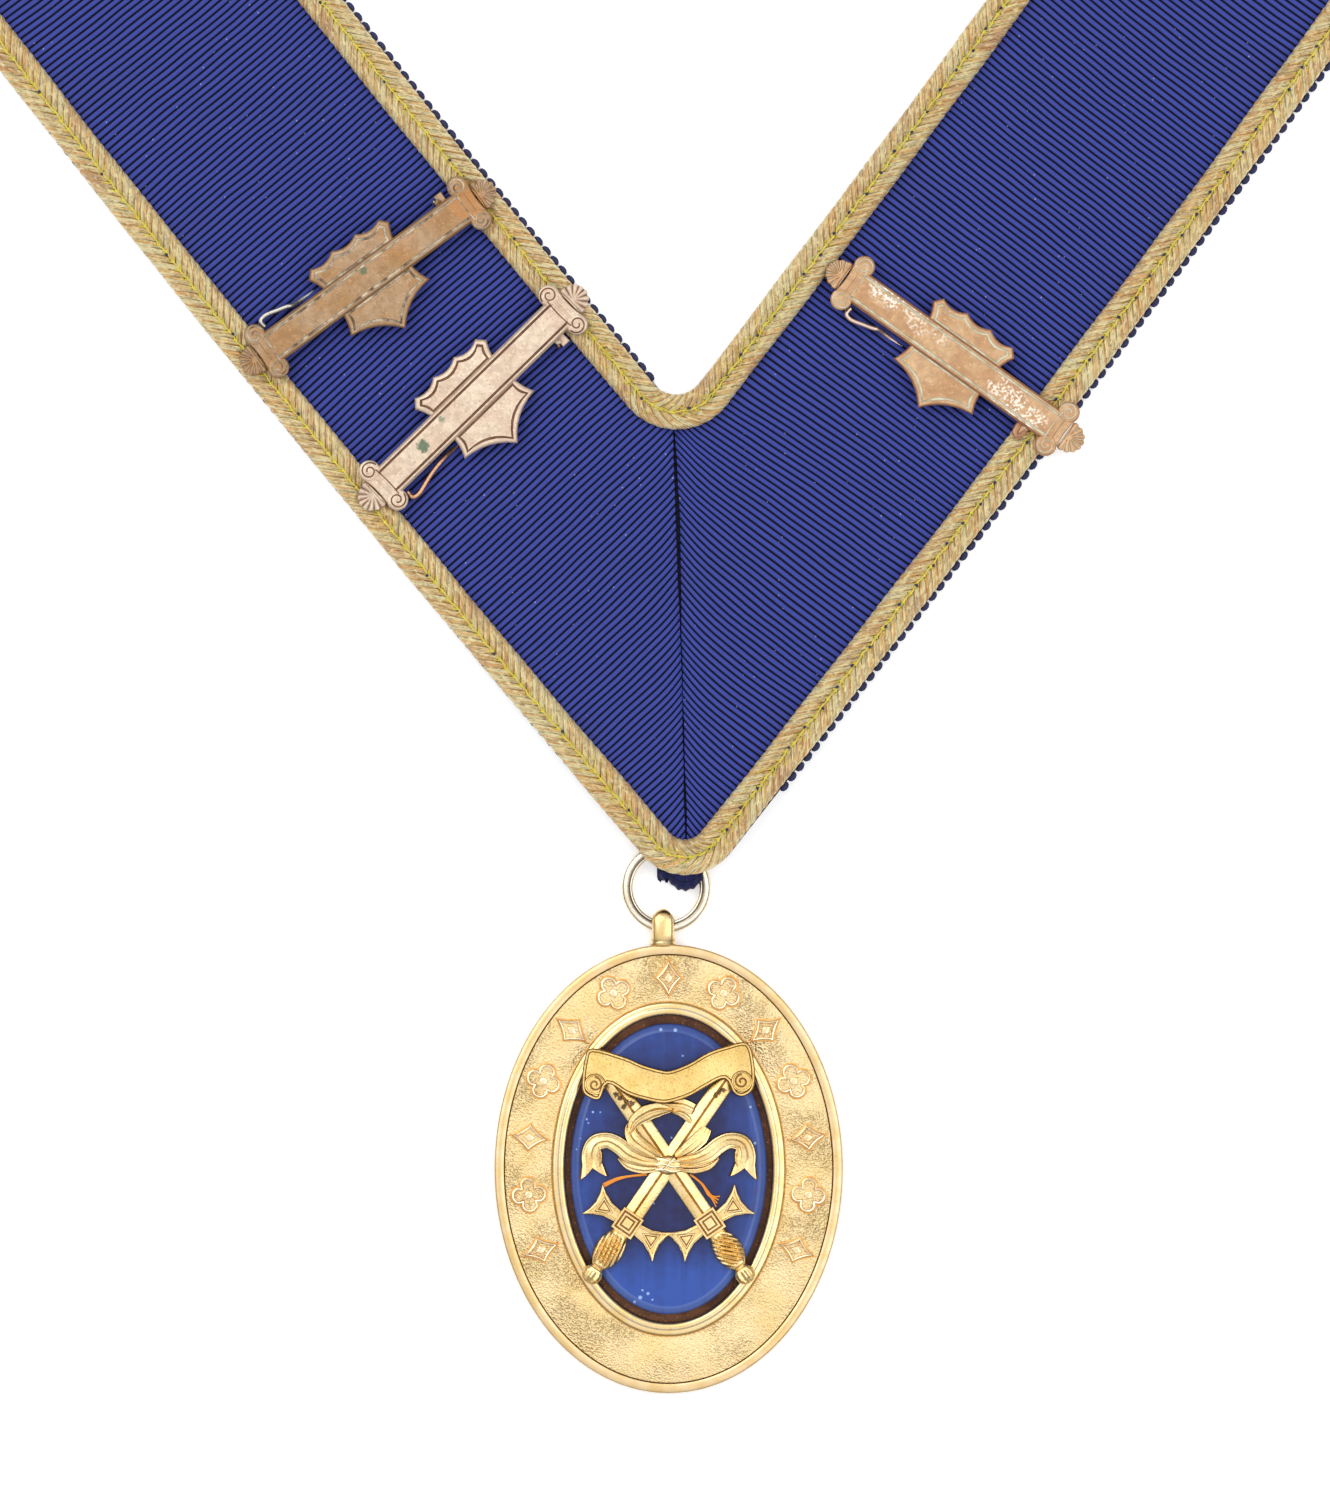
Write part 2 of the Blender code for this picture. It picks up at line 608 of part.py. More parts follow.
def build_jewel(corner):
    """The oval jewel: frame with its loop, back plate, plaque, swords and scroll"""
    across, along = JEWEL_WIDTH / 2, JEWEL_HEIGHT / 2
    centre_y = RING_UP - (RING_OUTER - RING_WIRE) / 2 - LOOP_LENGTH / 2 - along
    jewel = make_empty("jewel", corner, (RING_ACROSS + JEWEL_ACROSS, centre_y, 0))
    gilt = finish("gilt", (0.78, 0.55, 0.20), 0.3, 1)

    rings = []
    for k in range(OVAL_STEPS):
        angle = math.tau * k / OVAL_STEPS
        rings.append(
            [
                (
                    (across - inset * BAND_WIDTH) * math.cos(angle),
                    (along - inset * BAND_WIDTH) * math.sin(angle),
                    FRAME_BASE + height * FRAME_THICKNESS,
                )
                for inset, height in BAND_PROFILE
            ]
        )
    bm = bmesh.new()
    add_loft(bm, rings, closed=True)
    frame = make_object("jewel_frame", bm, gilt, 50)
    place(frame, jewel)

    bm = bmesh.new()
    add_hanging_loop(bm, along)
    field = BAND_WIDTH * FIELD_MIDDLE
    places = even_places(across - field, along - field, MOTIF_FIRST, MOTIF_LAST, MOTIF_COUNT)
    for k, (point, facing) in enumerate(places):
        kind = "leaf" if k % 2 else "lozenge"
        outline = [
            (
                point.x + x * math.cos(facing) - y * math.sin(facing),
                point.y + x * math.sin(facing) + y * math.cos(facing),
            )
            for x, y in motif_outline(kind)
        ]
        top = FRAME_BASE + FIELD_HEIGHT * FRAME_THICKNESS + MOTIF_RELIEF
        add_prism(bm, outline, FRAME_BASE + FIELD_HEIGHT * FRAME_THICKNESS / 2, top)
    extras = make_object("frame_extras", bm, gilt)
    place(extras, jewel)
    fuse(frame, extras)

    bm = bmesh.new()
    back_across, back_along = across - BACK_INSET, along - BACK_INSET
    add_oval_plate(bm, [(back_across, back_along, 0), (back_across, back_along, BACK_THICKNESS)])
    place(make_object("jewel_back", bm, finish("gilt_back", (0.6, 0.42, 0.18), 0.45, 1)), jewel)

    bm = bmesh.new()
    plaque_across = across - BAND_WIDTH - PLAQUE_GAP_SIDE
    plaque_along = along - BAND_WIDTH - PLAQUE_GAP_END
    shoulder = PLAQUE_BASE + PLAQUE_THICKNESS * PLAQUE_EDGE
    levels = [(plaque_across, plaque_along, PLAQUE_BASE), (plaque_across, plaque_along, shoulder)]
    top = PLAQUE_BASE + PLAQUE_THICKNESS
    levels.append((plaque_across - PLAQUE_BEVEL, plaque_along - PLAQUE_BEVEL, top))
    add_oval_plate(bm, levels)
    enamel = finish("blue_enamel", (0.03, 0.05, 0.35), 0.08, 0)
    place(make_object("enamel_plaque", bm, enamel, 20), jewel)

    build_emblem(jewel, gilt)
    bm = bmesh.new()
    half = SCROLL_SPAN / 2
    outline = [(x * half, y * half) for x, y in SCROLL_OUTLINE]
    add_prism(bm, outline, 0, SCROLL_THICKNESS, SCROLL_THICKNESS * 0.2)
    place(make_object("scroll_banner", bm, gilt, 30), jewel, (0, SCROLL_RISE, SCROLL_BASE))


def add_hanging_loop(bm, top):
    """The flattened loop above the frame, its eye open from side to side for the ring"""
    length, height = LOOP_LENGTH / 2 + LOOP_WALL / 2, TAB_HEIGHT / 2
    rings = []
    for k in range(LOOP_STEPS):
        angle = math.tau * k / LOOP_STEPS
        lean_y = math.copysign(abs(math.cos(angle)) ** LOOP_SQUARENESS, math.cos(angle))
        lean_z = math.copysign(abs(math.sin(angle)) ** LOOP_SQUARENESS, math.sin(angle))
        centre_y = top + LOOP_LENGTH / 2
        outer = (centre_y + length * lean_y, height + height * lean_z)
        inner = (
            centre_y + (length - LOOP_WALL) * lean_y,
            height + (height - LOOP_WALL) * lean_z,
        )
        left, right = LOOP_ACROSS - LOOP_WIDTH / 2, LOOP_ACROSS + LOOP_WIDTH / 2
        rings.append([(left, *outer), (right, *outer), (right, *inner), (left, *inner)])
    add_loft(bm, rings, closed=True)


def add_sword(bm, lean):
    """One sword, leaning from the upright, that crosses the other at the emblem's centre"""
    turn = Matrix.Rotation(-lean, 3, "Z")
    pommel = -SWORD_LENGTH * CROSSING
    first_vertex = len(bm.verts)
    half, thick = BLADE_WIDTH / 2, EMBLEM_THICKNESS

    rings = []
    for place_along, width, height in BLADE_SECTIONS:
        y = pommel + place_along * SWORD_LENGTH
        edge, ridge = width * half, height * BLADE_RIDGE
        rings.append(
            [(edge, y, 0), (edge, y, ridge / 2), (0, y, ridge), (-edge, y, ridge / 2), (-edge, y, 0)]
        )
    add_loft(bm, rings)
    rings = []
    for place_along, width, height in GRIP_SECTIONS:
        y = pommel + place_along * SWORD_LENGTH
        edge, crown = width * half, height * thick
        rings.append([(x * edge, y, z * crown) for x, z in GRIP_SECTION])
    add_loft(bm, rings)
    guard_y = pommel + GUARD_PLACE * SWORD_LENGTH
    block = GUARD_SPAN * GUARD_BLOCK
    corners = [(block, -block), (block, block), (-block, block), (-block, -block)]
    add_prism(bm, [(x, guard_y + y) for x, y in corners], 0, thick, thick * 0.15)
    for side in (-1, 1):
        arm = [(side * x * GUARD_SPAN / 2, guard_y + y * GUARD_SPAN / 2) for x, y in GUARD_ARM]
        add_prism(bm, arm, 0, thick * 0.6, thick * 0.1)
    bm.verts.ensure_lookup_table()
    for vertex in bm.verts[first_vertex:]:
        vertex.co = turn @ vertex.co


def build_emblem(jewel, gilt):
    """The crossed swords tied with a bow, one casting"""
    knot = BOW_SPAN / 2
    bm = bmesh.new()
    outline = [(x * KNOT_WIDTH * knot, y * KNOT_HEIGHT * knot) for x, y in circle(1, 12)]
    add_prism(bm, outline, 0, EMBLEM_THICKNESS, EMBLEM_THICKNESS * 0.25)
    emblem = make_object("swords_emblem", bm, gilt, 30)
    place(emblem, jewel, (0, EMBLEM_RISE, EMBLEM_BASE))
    bm = bmesh.new()
    add_sword(bm, SWORD_LEAN)
    add_sword(bm, -SWORD_LEAN)
    thick = EMBLEM_THICKNESS * BOW_HEIGHT
    pieces = ((TAIL_OUTLINE, (-1, 1)), (LEFT_LOOP, (-1,)), (RIGHT_LOOP, (1,)), (LEAF, (1,)))
    for outline, sides in pieces:
        for side in sides:
            add_prism(bm, [(side * x * knot, y * knot) for x, y in outline], 0, thick, thick * 0.15)
    parts = make_object("emblem_parts", bm, gilt)
    place(parts, jewel, (0, EMBLEM_RISE, EMBLEM_BASE))
    fuse(emblem, parts)


def bar_outlines():
    """The flat outlines of a bar's crest, shield, shells and scroll ends"""
    half, width = BAR_LENGTH / 2, BAR_BODY_WIDTH
    crest = [(x * half, width * 0.3) for x in (-CREST_FOOT, CREST_FOOT)]
    corners = [(x * half, y * BAR_CREST_HEIGHT) for x, y in CREST_CORNERS]
    crest += corners[:1]
    for start, end in zip(corners[1:], corners[2:-1]):
        crest += bowed_edge(start, end, BAR_CREST_HEIGHT * CREST_DIP, SCALLOP_STEPS)
    crest += corners[-2:]
    shield = [(x * half, -width * 0.3) for x in (CREST_FOOT, -CREST_FOOT)]
    corners = [(x * half, -y * BAR_SHIELD_DEPTH) for x, y in SHIELD_CORNERS]
    dips = [depth * BAR_SHIELD_DEPTH for depth in SHIELD_DIPS]
    for start, end, dip in zip(corners, corners[1:], dips):
        shield += bowed_edge(start, end, dip, SHIELD_STEPS)
    shield.append(corners[-1])
    return crest, shield


def add_bar_end(bm, side):
    """The two scrolls, the piece between them and the shell at one end of a bar"""
    scroll_x = side * (BAR_LENGTH / 2 - SHELL_RADIUS * 2 - SCROLL_END_RADIUS * 0.2)
    scroll_y = BAR_BODY_WIDTH * SCROLL_OFFSET
    inner, outer = scroll_x - side * SCROLL_END_RADIUS / 2, scroll_x + side * SCROLL_END_RADIUS
    for y in (-scroll_y, scroll_y):
        add_prism(bm, circle(SCROLL_END_RADIUS, 12, (scroll_x, y)), 0, BAR_END_THICKNESS, BAR_PLATE_BEVEL)
    cross = [(inner, -scroll_y), (outer, -scroll_y), (outer, scroll_y), (inner, scroll_y)]
    add_prism(bm, cross, 0, BAR_END_THICKNESS)
    shell = []
    shell_x = side * (BAR_LENGTH / 2 - SHELL_RADIUS)
    for k in range(SHELL_LOBES * 2 + 1):
        angle = SHELL_OPENING * (k / SHELL_LOBES - 1)
        reach = SHELL_RADIUS * (1 if k % 2 else SHELL_VALLEY)
        shell.append((shell_x + side * reach * math.cos(angle), reach * math.sin(angle)))
    shell.append((scroll_x, shell[-1][1]))
    shell.append((scroll_x, shell[0][1]))
    add_prism(bm, shell, 0, BAR_PLATE_THICKNESS, BAR_PLATE_BEVEL)


def pin_path(pin_side, lug_place):
    """The pin wire from its hinge lug, down through the ribbon and up to its hook"""
    low = BACKING_THICKNESS + GAP / 2 - BAR_BASE
    high = -LUG_DEPTH / 2
    route = [(lug_place + x, y, raised) for x, y, raised in PIN_FALL] + list(PIN_RISE)
    return [
        Vector((x * BAR_LENGTH / 2, pin_side * y * BAR_BODY_WIDTH, high if raised else low))
        for x, y, raised in route
    ]


def add_wire(bm, path, radius, sides=6):
    """A round wire along a path that never stands upright"""
    rings = []
    for k, point in enumerate(path):
        ahead = path[min(k + 1, len(path) - 1)] - path[max(k - 1, 0)]
        forward = ahead.normalized()
        beside = Vector((0, 0, 1)).cross(forward).normalized()
        above = forward.cross(beside)
        rings.append([point + beside * x + above * y for x, y in circle(radius, sides)])
    add_loft(bm, rings)


def add_block(bm, middle, size, near, far):
    """A lug or catch under the plate, that runs out from the body to hold the pin"""
    low, high = sorted((near, far))
    left, right = middle - size / 2, middle + size / 2
    corners = [(left, low), (right, low), (right, high), (left, high)]
    add_prism(bm, corners, -LUG_DEPTH, BAR_PLATE_THICKNESS / 2)


def build_bar(collar, row, faces, backing):
    """One pin-on bar with its pin, and the way of the pin through the two ribbons"""
    name, limb, along, outward, turn, pin_side, lug_place, colour = row
    metal = finish("bar_metal_" + name, colour, 0.5, 0.8)
    spot = collar_point(along, outward)
    location = (limb * spot.x, spot.y, BAR_BASE)
    angle = -limb * heading_at(along) + math.radians(turn)

    half = BAR_LENGTH / 2 - SHELL_RADIUS * 2
    width = BAR_BODY_WIDTH / 2
    body = [(-half, -width), (half, -width), (half, width), (-half, width)]
    bm = bmesh.new()
    add_prism(bm, body, 0, BAR_BODY_THICKNESS, BAR_BODY_BEVEL)
    bar = make_object("bar_" + name, bm, metal, 25)
    place(bar, collar, location, angle)
    bm = bmesh.new()
    for outline in bar_outlines():
        add_prism(bm, outline, 0, BAR_PLATE_THICKNESS, BAR_PLATE_BEVEL)
    for side in (-1, 1):
        add_bar_end(bm, side)
    path = pin_path(pin_side, lug_place)
    lug_x = path[0].x + GAP + LUG_SIZE / 2
    lug_far = path[0].y + pin_side * (PIN_WIRE / 2 + LUG_WALL)
    catch_far = path[-1].y - pin_side * (PIN_WIRE / 2 + GAP)
    for middle, far in ((lug_x, lug_far), (path[-1].x, catch_far)):
        add_block(bm, middle, LUG_SIZE, pin_side * BAR_BODY_WIDTH / 4, far)
    parts = make_object("bar_parts_" + name, bm, metal)
    place(parts, collar, location, angle)
    fuse(bar, parts)

    bm = bmesh.new()
    add_wire(bm, path, PIN_WIRE / 2)
    steel = finish("pin_wire_" + name, (0.6, 0.56, 0.5), 0.35, 1)
    place(make_object("pin_" + name, bm, steel, 50), collar, location, angle)
    bm = bmesh.new()
    add_wire(bm, path, PIN_WIRE / 2 + GAP)
    channel = make_object("pin_channel_" + name, bm, steel)
    place(channel, collar, location, angle)
    hide_guide(channel)
    cut(faces[limb], channel)
    cut(backing, channel)


def centre_on_origin(root):
    """Moves the root so that the middle of everything's underside is at the origin"""
    bpy.context.view_layer.update()
    graph = bpy.context.evaluated_depsgraph_get()
    points = []
    for item in bpy.context.scene.objects:
        if item.type == "MESH" and not item.hide_render:
            shape = item.evaluated_get(graph)
            points += [shape.matrix_world @ vertex.co for vertex in shape.data.vertices]
    for axis in (0, 1):
        values = [point[axis] for point in points]
        root.location[axis] -= (min(values) + max(values)) / 2
    root.location[2] -= min(point[2] for point in points)


def main():
    clear_scene()
    root = make_empty("collar_and_jewel")
    corner = make_empty("tip_corner", root)
    collar = make_empty("collar_lay", corner, turn=LAY_TILT)
    backing, faces = build_ribbons(collar)
    build_laces(collar)
    build_ring_and_tab(corner)
    build_jewel(corner)
    for row in BARS:
        build_bar(collar, row, faces, backing)
    centre_on_origin(root)


main()
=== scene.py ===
"""Dresses the ceremonial collar: ribbed ribbons, metal laces, pinned bars, ring, tab and oval jewel."""

import logging
import math
from dataclasses import dataclass, field
from enum import Enum

import bpy
import numpy as np
from mathutils import Matrix, Vector


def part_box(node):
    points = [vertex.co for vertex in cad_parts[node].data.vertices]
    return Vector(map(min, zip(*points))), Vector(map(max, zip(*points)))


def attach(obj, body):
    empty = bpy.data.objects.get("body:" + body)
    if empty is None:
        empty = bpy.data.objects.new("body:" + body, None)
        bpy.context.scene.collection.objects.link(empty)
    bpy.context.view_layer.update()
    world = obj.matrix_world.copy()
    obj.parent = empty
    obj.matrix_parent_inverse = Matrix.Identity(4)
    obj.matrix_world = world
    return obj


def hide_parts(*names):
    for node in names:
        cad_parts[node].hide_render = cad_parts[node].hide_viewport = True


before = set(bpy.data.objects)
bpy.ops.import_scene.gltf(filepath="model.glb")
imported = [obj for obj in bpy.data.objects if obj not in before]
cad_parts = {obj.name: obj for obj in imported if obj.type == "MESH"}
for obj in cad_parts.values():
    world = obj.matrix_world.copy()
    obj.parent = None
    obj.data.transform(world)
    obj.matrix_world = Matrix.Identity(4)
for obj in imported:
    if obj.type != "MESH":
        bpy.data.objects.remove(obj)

MM = 0.001
GAP = 0.3 * MM
BODY = "root"
IMAGE_SIZE = (1330, 1500)
PIXEL = 0.18 * MM  # one pixel of the photograph on the collar
VIEW_CENTRE = (1.05 * MM, -151.9 * MM)
LOG = logging.getLogger("collar")

Point = tuple[float, float]
Colour = tuple[float, float, float]
Slots = list[int] | np.ndarray | int
Finish = bpy.types.Material
Piece = bpy.types.Object
Socket = bpy.types.NodeSocket


class Side(Enum):
    """The wearer-facing halves of the collar as the picture shows them."""

    LEFT = -1
    RIGHT = 1


# Mesh building


class Shape:
    """Points, faces and flat cloth coordinates gathered for one piece."""

    def __init__(self) -> None:
        """Starts empty."""
        self.points: list[np.ndarray] = []
        self.faces: list[tuple[int, ...]] = []
        self.corners: list[np.ndarray] = []
        self.slots: list[int] = []
        self.count = 0

    def add_points(self, points: np.ndarray) -> int:
        """Adds points.

        Args:
            points: Rows of x, y and z.

        Returns:
            The index of the first one.
        """
        first = self.count
        self.points.append(points.reshape(-1, 3))
        self.count += self.points[-1].shape[0]
        return first

    def add_face(self, face: tuple[int, ...], flats: np.ndarray, slot: int) -> None:
        """Adds one face.

        Args:
            face: The point indices.
            flats: Its corners' flat coordinates.
            slot: The number of its material.
        """
        self.faces.append(face)
        self.corners.append(flats)
        self.slots.append(slot)

    def add_loft(
        self,
        rings: np.ndarray,
        flats: np.ndarray | None = None,
        closed: bool = False,
        slots: Slots = 0,
        caps: bool = True,
    ) -> None:
        """Joins rings of points with quads, each ring being a closed outline.

        Args:
            rings: Points as ring, place in the ring, and x, y, z.
            flats: Flat coordinates of the same points. A closed loft may have one ring more.
            closed: Whether the last ring joins the first. Otherwise the ends are capped.
            slots: The material of every face, or of the faces behind each ring, or of each face.
            caps: Whether the ends of an open loft are capped.
        """
        rows, columns = rings.shape[:2]
        if flats is None:
            flats = np.zeros((rows, columns, 2))
        if closed and flats.shape[0] == rows:
            flats = np.concatenate([flats, flats[:1]])
        first = self.add_points(rings)
        index = first + np.arange(rows * columns).reshape(rows, columns)
        after = np.roll(index, -1, axis=1)
        flats_after = np.roll(flats, -1, axis=1)
        steps = rows if closed else rows - 1
        table = np.asarray(slots)
        if table.ndim == 1:
            table = table[:steps, None]
        table = np.broadcast_to(table, (steps, columns))
        for row in range(steps):
            following = (row + 1) % rows
            quads = np.stack([index[row], after[row], after[following], index[following]], axis=1)
            corners = [flats[row], flats_after[row], flats_after[row + 1], flats[row + 1]]
            self.faces.extend(map(tuple, quads.tolist()))
            self.corners.append(np.stack(corners, axis=1).reshape(-1, 2))
            self.slots.extend(table[row].tolist())
        if caps and not closed:
            self.add_face(tuple(reversed(index[0].tolist())), flats[0][::-1], 0)
            self.add_face(tuple(index[-1].tolist()), flats[rows - 1], int(table[-1, 0]))

    def add_prism(
        self, outline: "list[Point] | Panel", levels: list[Point], slots: Slots = 0
    ) -> None:
        """A solid on a flat outline, from rows of how far in and how high.

        Args:
            outline: The outline's corners, or a panel with bowed sides.
            levels: Inset and height of each row, from the bottom edge to the top face.
            slots: The material behind each row, the top face having the last.
        """
        rings = []
        for inset, height in levels:
            if isinstance(outline, Panel):
                drawn = outline.drawn(inset)
            else:
                drawn = inset_outline(outline, inset) if inset else outline
            rings.append([(x, y, height) for x, y in drawn])
        self.add_loft(np.array(rings), slots=slots)

    def add_wire(
        self, path: np.ndarray, radii: np.ndarray | float, sides: int = 8, slot: int = 0
    ) -> None:
        """A round wire along a path.

        Args:
            path: The points of its middle line.
            radii: Its radius, one or one a point.
            sides: How many sides its section has.
            slot: The number of its material.
        """
        radii = np.broadcast_to(np.asarray(radii, float), (len(path),))
        ahead = np.gradient(path, axis=0)
        ahead /= np.linalg.norm(ahead, axis=1, keepdims=True)
        beside = np.cross((0.0, 0.0, 1.0), ahead)
        size = np.linalg.norm(beside, axis=1, keepdims=True)
        beside = np.where(size > 1e-6, beside / np.maximum(size, 1e-6), (1.0, 0.0, 0.0))
        above = np.cross(ahead, beside)
        turn = np.arange(sides) * math.tau / sides
        cos, sin = np.cos(turn)[None, :, None], np.sin(turn)[None, :, None]
        ring = cos * beside[:, None] + sin * above[:, None]
        self.add_loft(path[:, None] + ring * radii[:, None, None], slots=slot)

    def move(self, matrix: Matrix, start: int = 0) -> None:
        """Moves the pieces of points from a chunk on.

        Args:
            matrix: The move.
            start: The first chunk that moves.
        """
        turn = np.array(matrix)
        for k in range(start, len(self.points)):
            self.points[k] = self.points[k] @ turn[:3, :3].T + turn[:3, 3]

    def build(
        self, name: str, materials: list[Finish], smooth_angle: float = 40
    ) -> Piece:
        """Makes the object.

        Args:
            name: The piece's name.
            materials: Its finishes, in the order of the faces' slot numbers.
            smooth_angle: Edges sharper than this many degrees stay sharp.

        Returns:
            The object, in the scene.
        """
        mesh = bpy.data.meshes.new(name)
        mesh.from_pydata(np.concatenate(self.points).tolist(), [], self.faces)
        layer = mesh.uv_layers.new(name="flat")
        layer.data.foreach_set("uv", np.concatenate(self.corners).astype(np.float32).ravel())
        for material in materials:
            mesh.materials.append(material)
        mesh.polygons.foreach_set("material_index", self.slots)
        mesh.validate()
        mesh.shade_smooth()
        mesh.set_sharp_from_angle(angle=math.radians(smooth_angle))
        item = bpy.data.objects.new(name, mesh)
        bpy.context.scene.collection.objects.link(item)
        return item


def together(*parts: object) -> np.ndarray:
    """Rows whose columns are the given lists, or numbers that stay the same."""
    return np.stack(np.broadcast_arrays(*parts), axis=-1)


def in_mm(rows: list[Point] | tuple[Point, ...], up: float = MM) -> list[Point]:
    """Levels in metres, from insets in millimetres and heights in millimetres or another unit."""
    return [(inset * MM, height * up) for inset, height in rows]


def raised(flat: np.ndarray, height: np.ndarray | float) -> np.ndarray:
    """Rows of x and y with a height added to each."""
    return np.concatenate([flat, np.broadcast_to(height, flat.shape[:-1])[..., None]], axis=-1)


def inset_outline(outline: list[Point], by: float) -> list[Point]:
    """Moves an outline inward along its corners' bisectors.

    Args:
        outline: The outline's corners.
        by: How far its sides move.

    Returns:
        The moved corners.
    """
    here = np.array(outline)
    before, after = np.roll(here, 1, axis=0), np.roll(here, -1, axis=0)
    area = np.sum(here[:, 0] * after[:, 1] - after[:, 0] * here[:, 1])
    arriving = here - before
    leaving = after - here
    arriving /= np.linalg.norm(arriving, axis=1, keepdims=True)
    leaving /= np.linalg.norm(leaving, axis=1, keepdims=True)
    both = arriving + leaving
    inward = np.stack([-both[:, 1], both[:, 0]], axis=1) * (1 if area > 0 else -1)
    spread = np.maximum(1 + np.sum(arriving * leaving, axis=1), 0.45)
    return [tuple(point) for point in here + inward * (by / spread)[:, None]]


@dataclass
class Panel:
    """An outline of corners whose sides bow inward."""

    corners: list[Point]
    dips: list[float]
    steps: int = 6

    def drawn(self, inset: float) -> list[Point]:
        """The outline, its corners moved in.

        Args:
            inset: How far its sides move in.

        Returns:
            The points.
        """
        moved = inset_outline(self.corners, inset) if inset else self.corners
        outline = []
        for start, end, dip in zip(moved, moved[1:] + moved[:1], self.dips):
            outline += bowed_edge(start, end, dip, self.steps)
        return outline


def circle(radius: float, count: int, centre: Point = (0, 0), start: float = 0.0) -> list[Point]:
    """Points on a circle, from a start angle round."""
    angles = [start + math.tau * k / count for k in range(count)]
    return [(centre[0] + radius * math.cos(a), centre[1] + radius * math.sin(a)) for a in angles]


def smooth_outline(corners: list[Point], steps: int = 5, closed: bool = True) -> list[Point]:
    """A soft curve through points.

    Args:
        corners: The points.
        steps: Points on each stretch.
        closed: Whether the curve returns to its first point.

    Returns:
        The curve's points.
    """
    points = [Vector(corner) for corner in corners]
    count = len(points)
    stretches = count if closed else count - 1
    curve = []
    for k in range(stretches):
        if closed:
            a, b, c, d = (points[(k + j - 1) % count] for j in range(4))
        else:
            a, b, c, d = (points[min(max(k + j - 1, 0), count - 1)] for j in range(4))
        for step in range(steps):
            t = step / steps
            bend = 2 * b + (c - a) * t + (2 * a - 5 * b + 4 * c - d) * t * t
            curve.append(tuple(0.5 * (bend + (3 * b - a - 3 * c + d) * t**3)))
    if not closed:
        curve.append(tuple(points[-1]))
    return curve


def bowed_edge(start: Point, end: Point, dip: float, count: int) -> list[Point]:
    """Points from start up to end, drawn in to its left.

    Args:
        start: The first point.
        end: The last point, left out.
        dip: How far the middle is drawn in.
        count: How many points.

    Returns:
        The points.
    """
    ax, ay = start
    bx, by = end
    length = math.hypot(bx - ax, by - ay)
    points = []
    for k in range(count):
        share = k / count
        lean = 4 * share * (1 - share) * dip
        x = ax + (bx - ax) * share - (by - ay) / length * lean
        y = ay + (by - ay) * share + (bx - ax) / length * lean
        points.append((x, y))
    return points


# Finishes


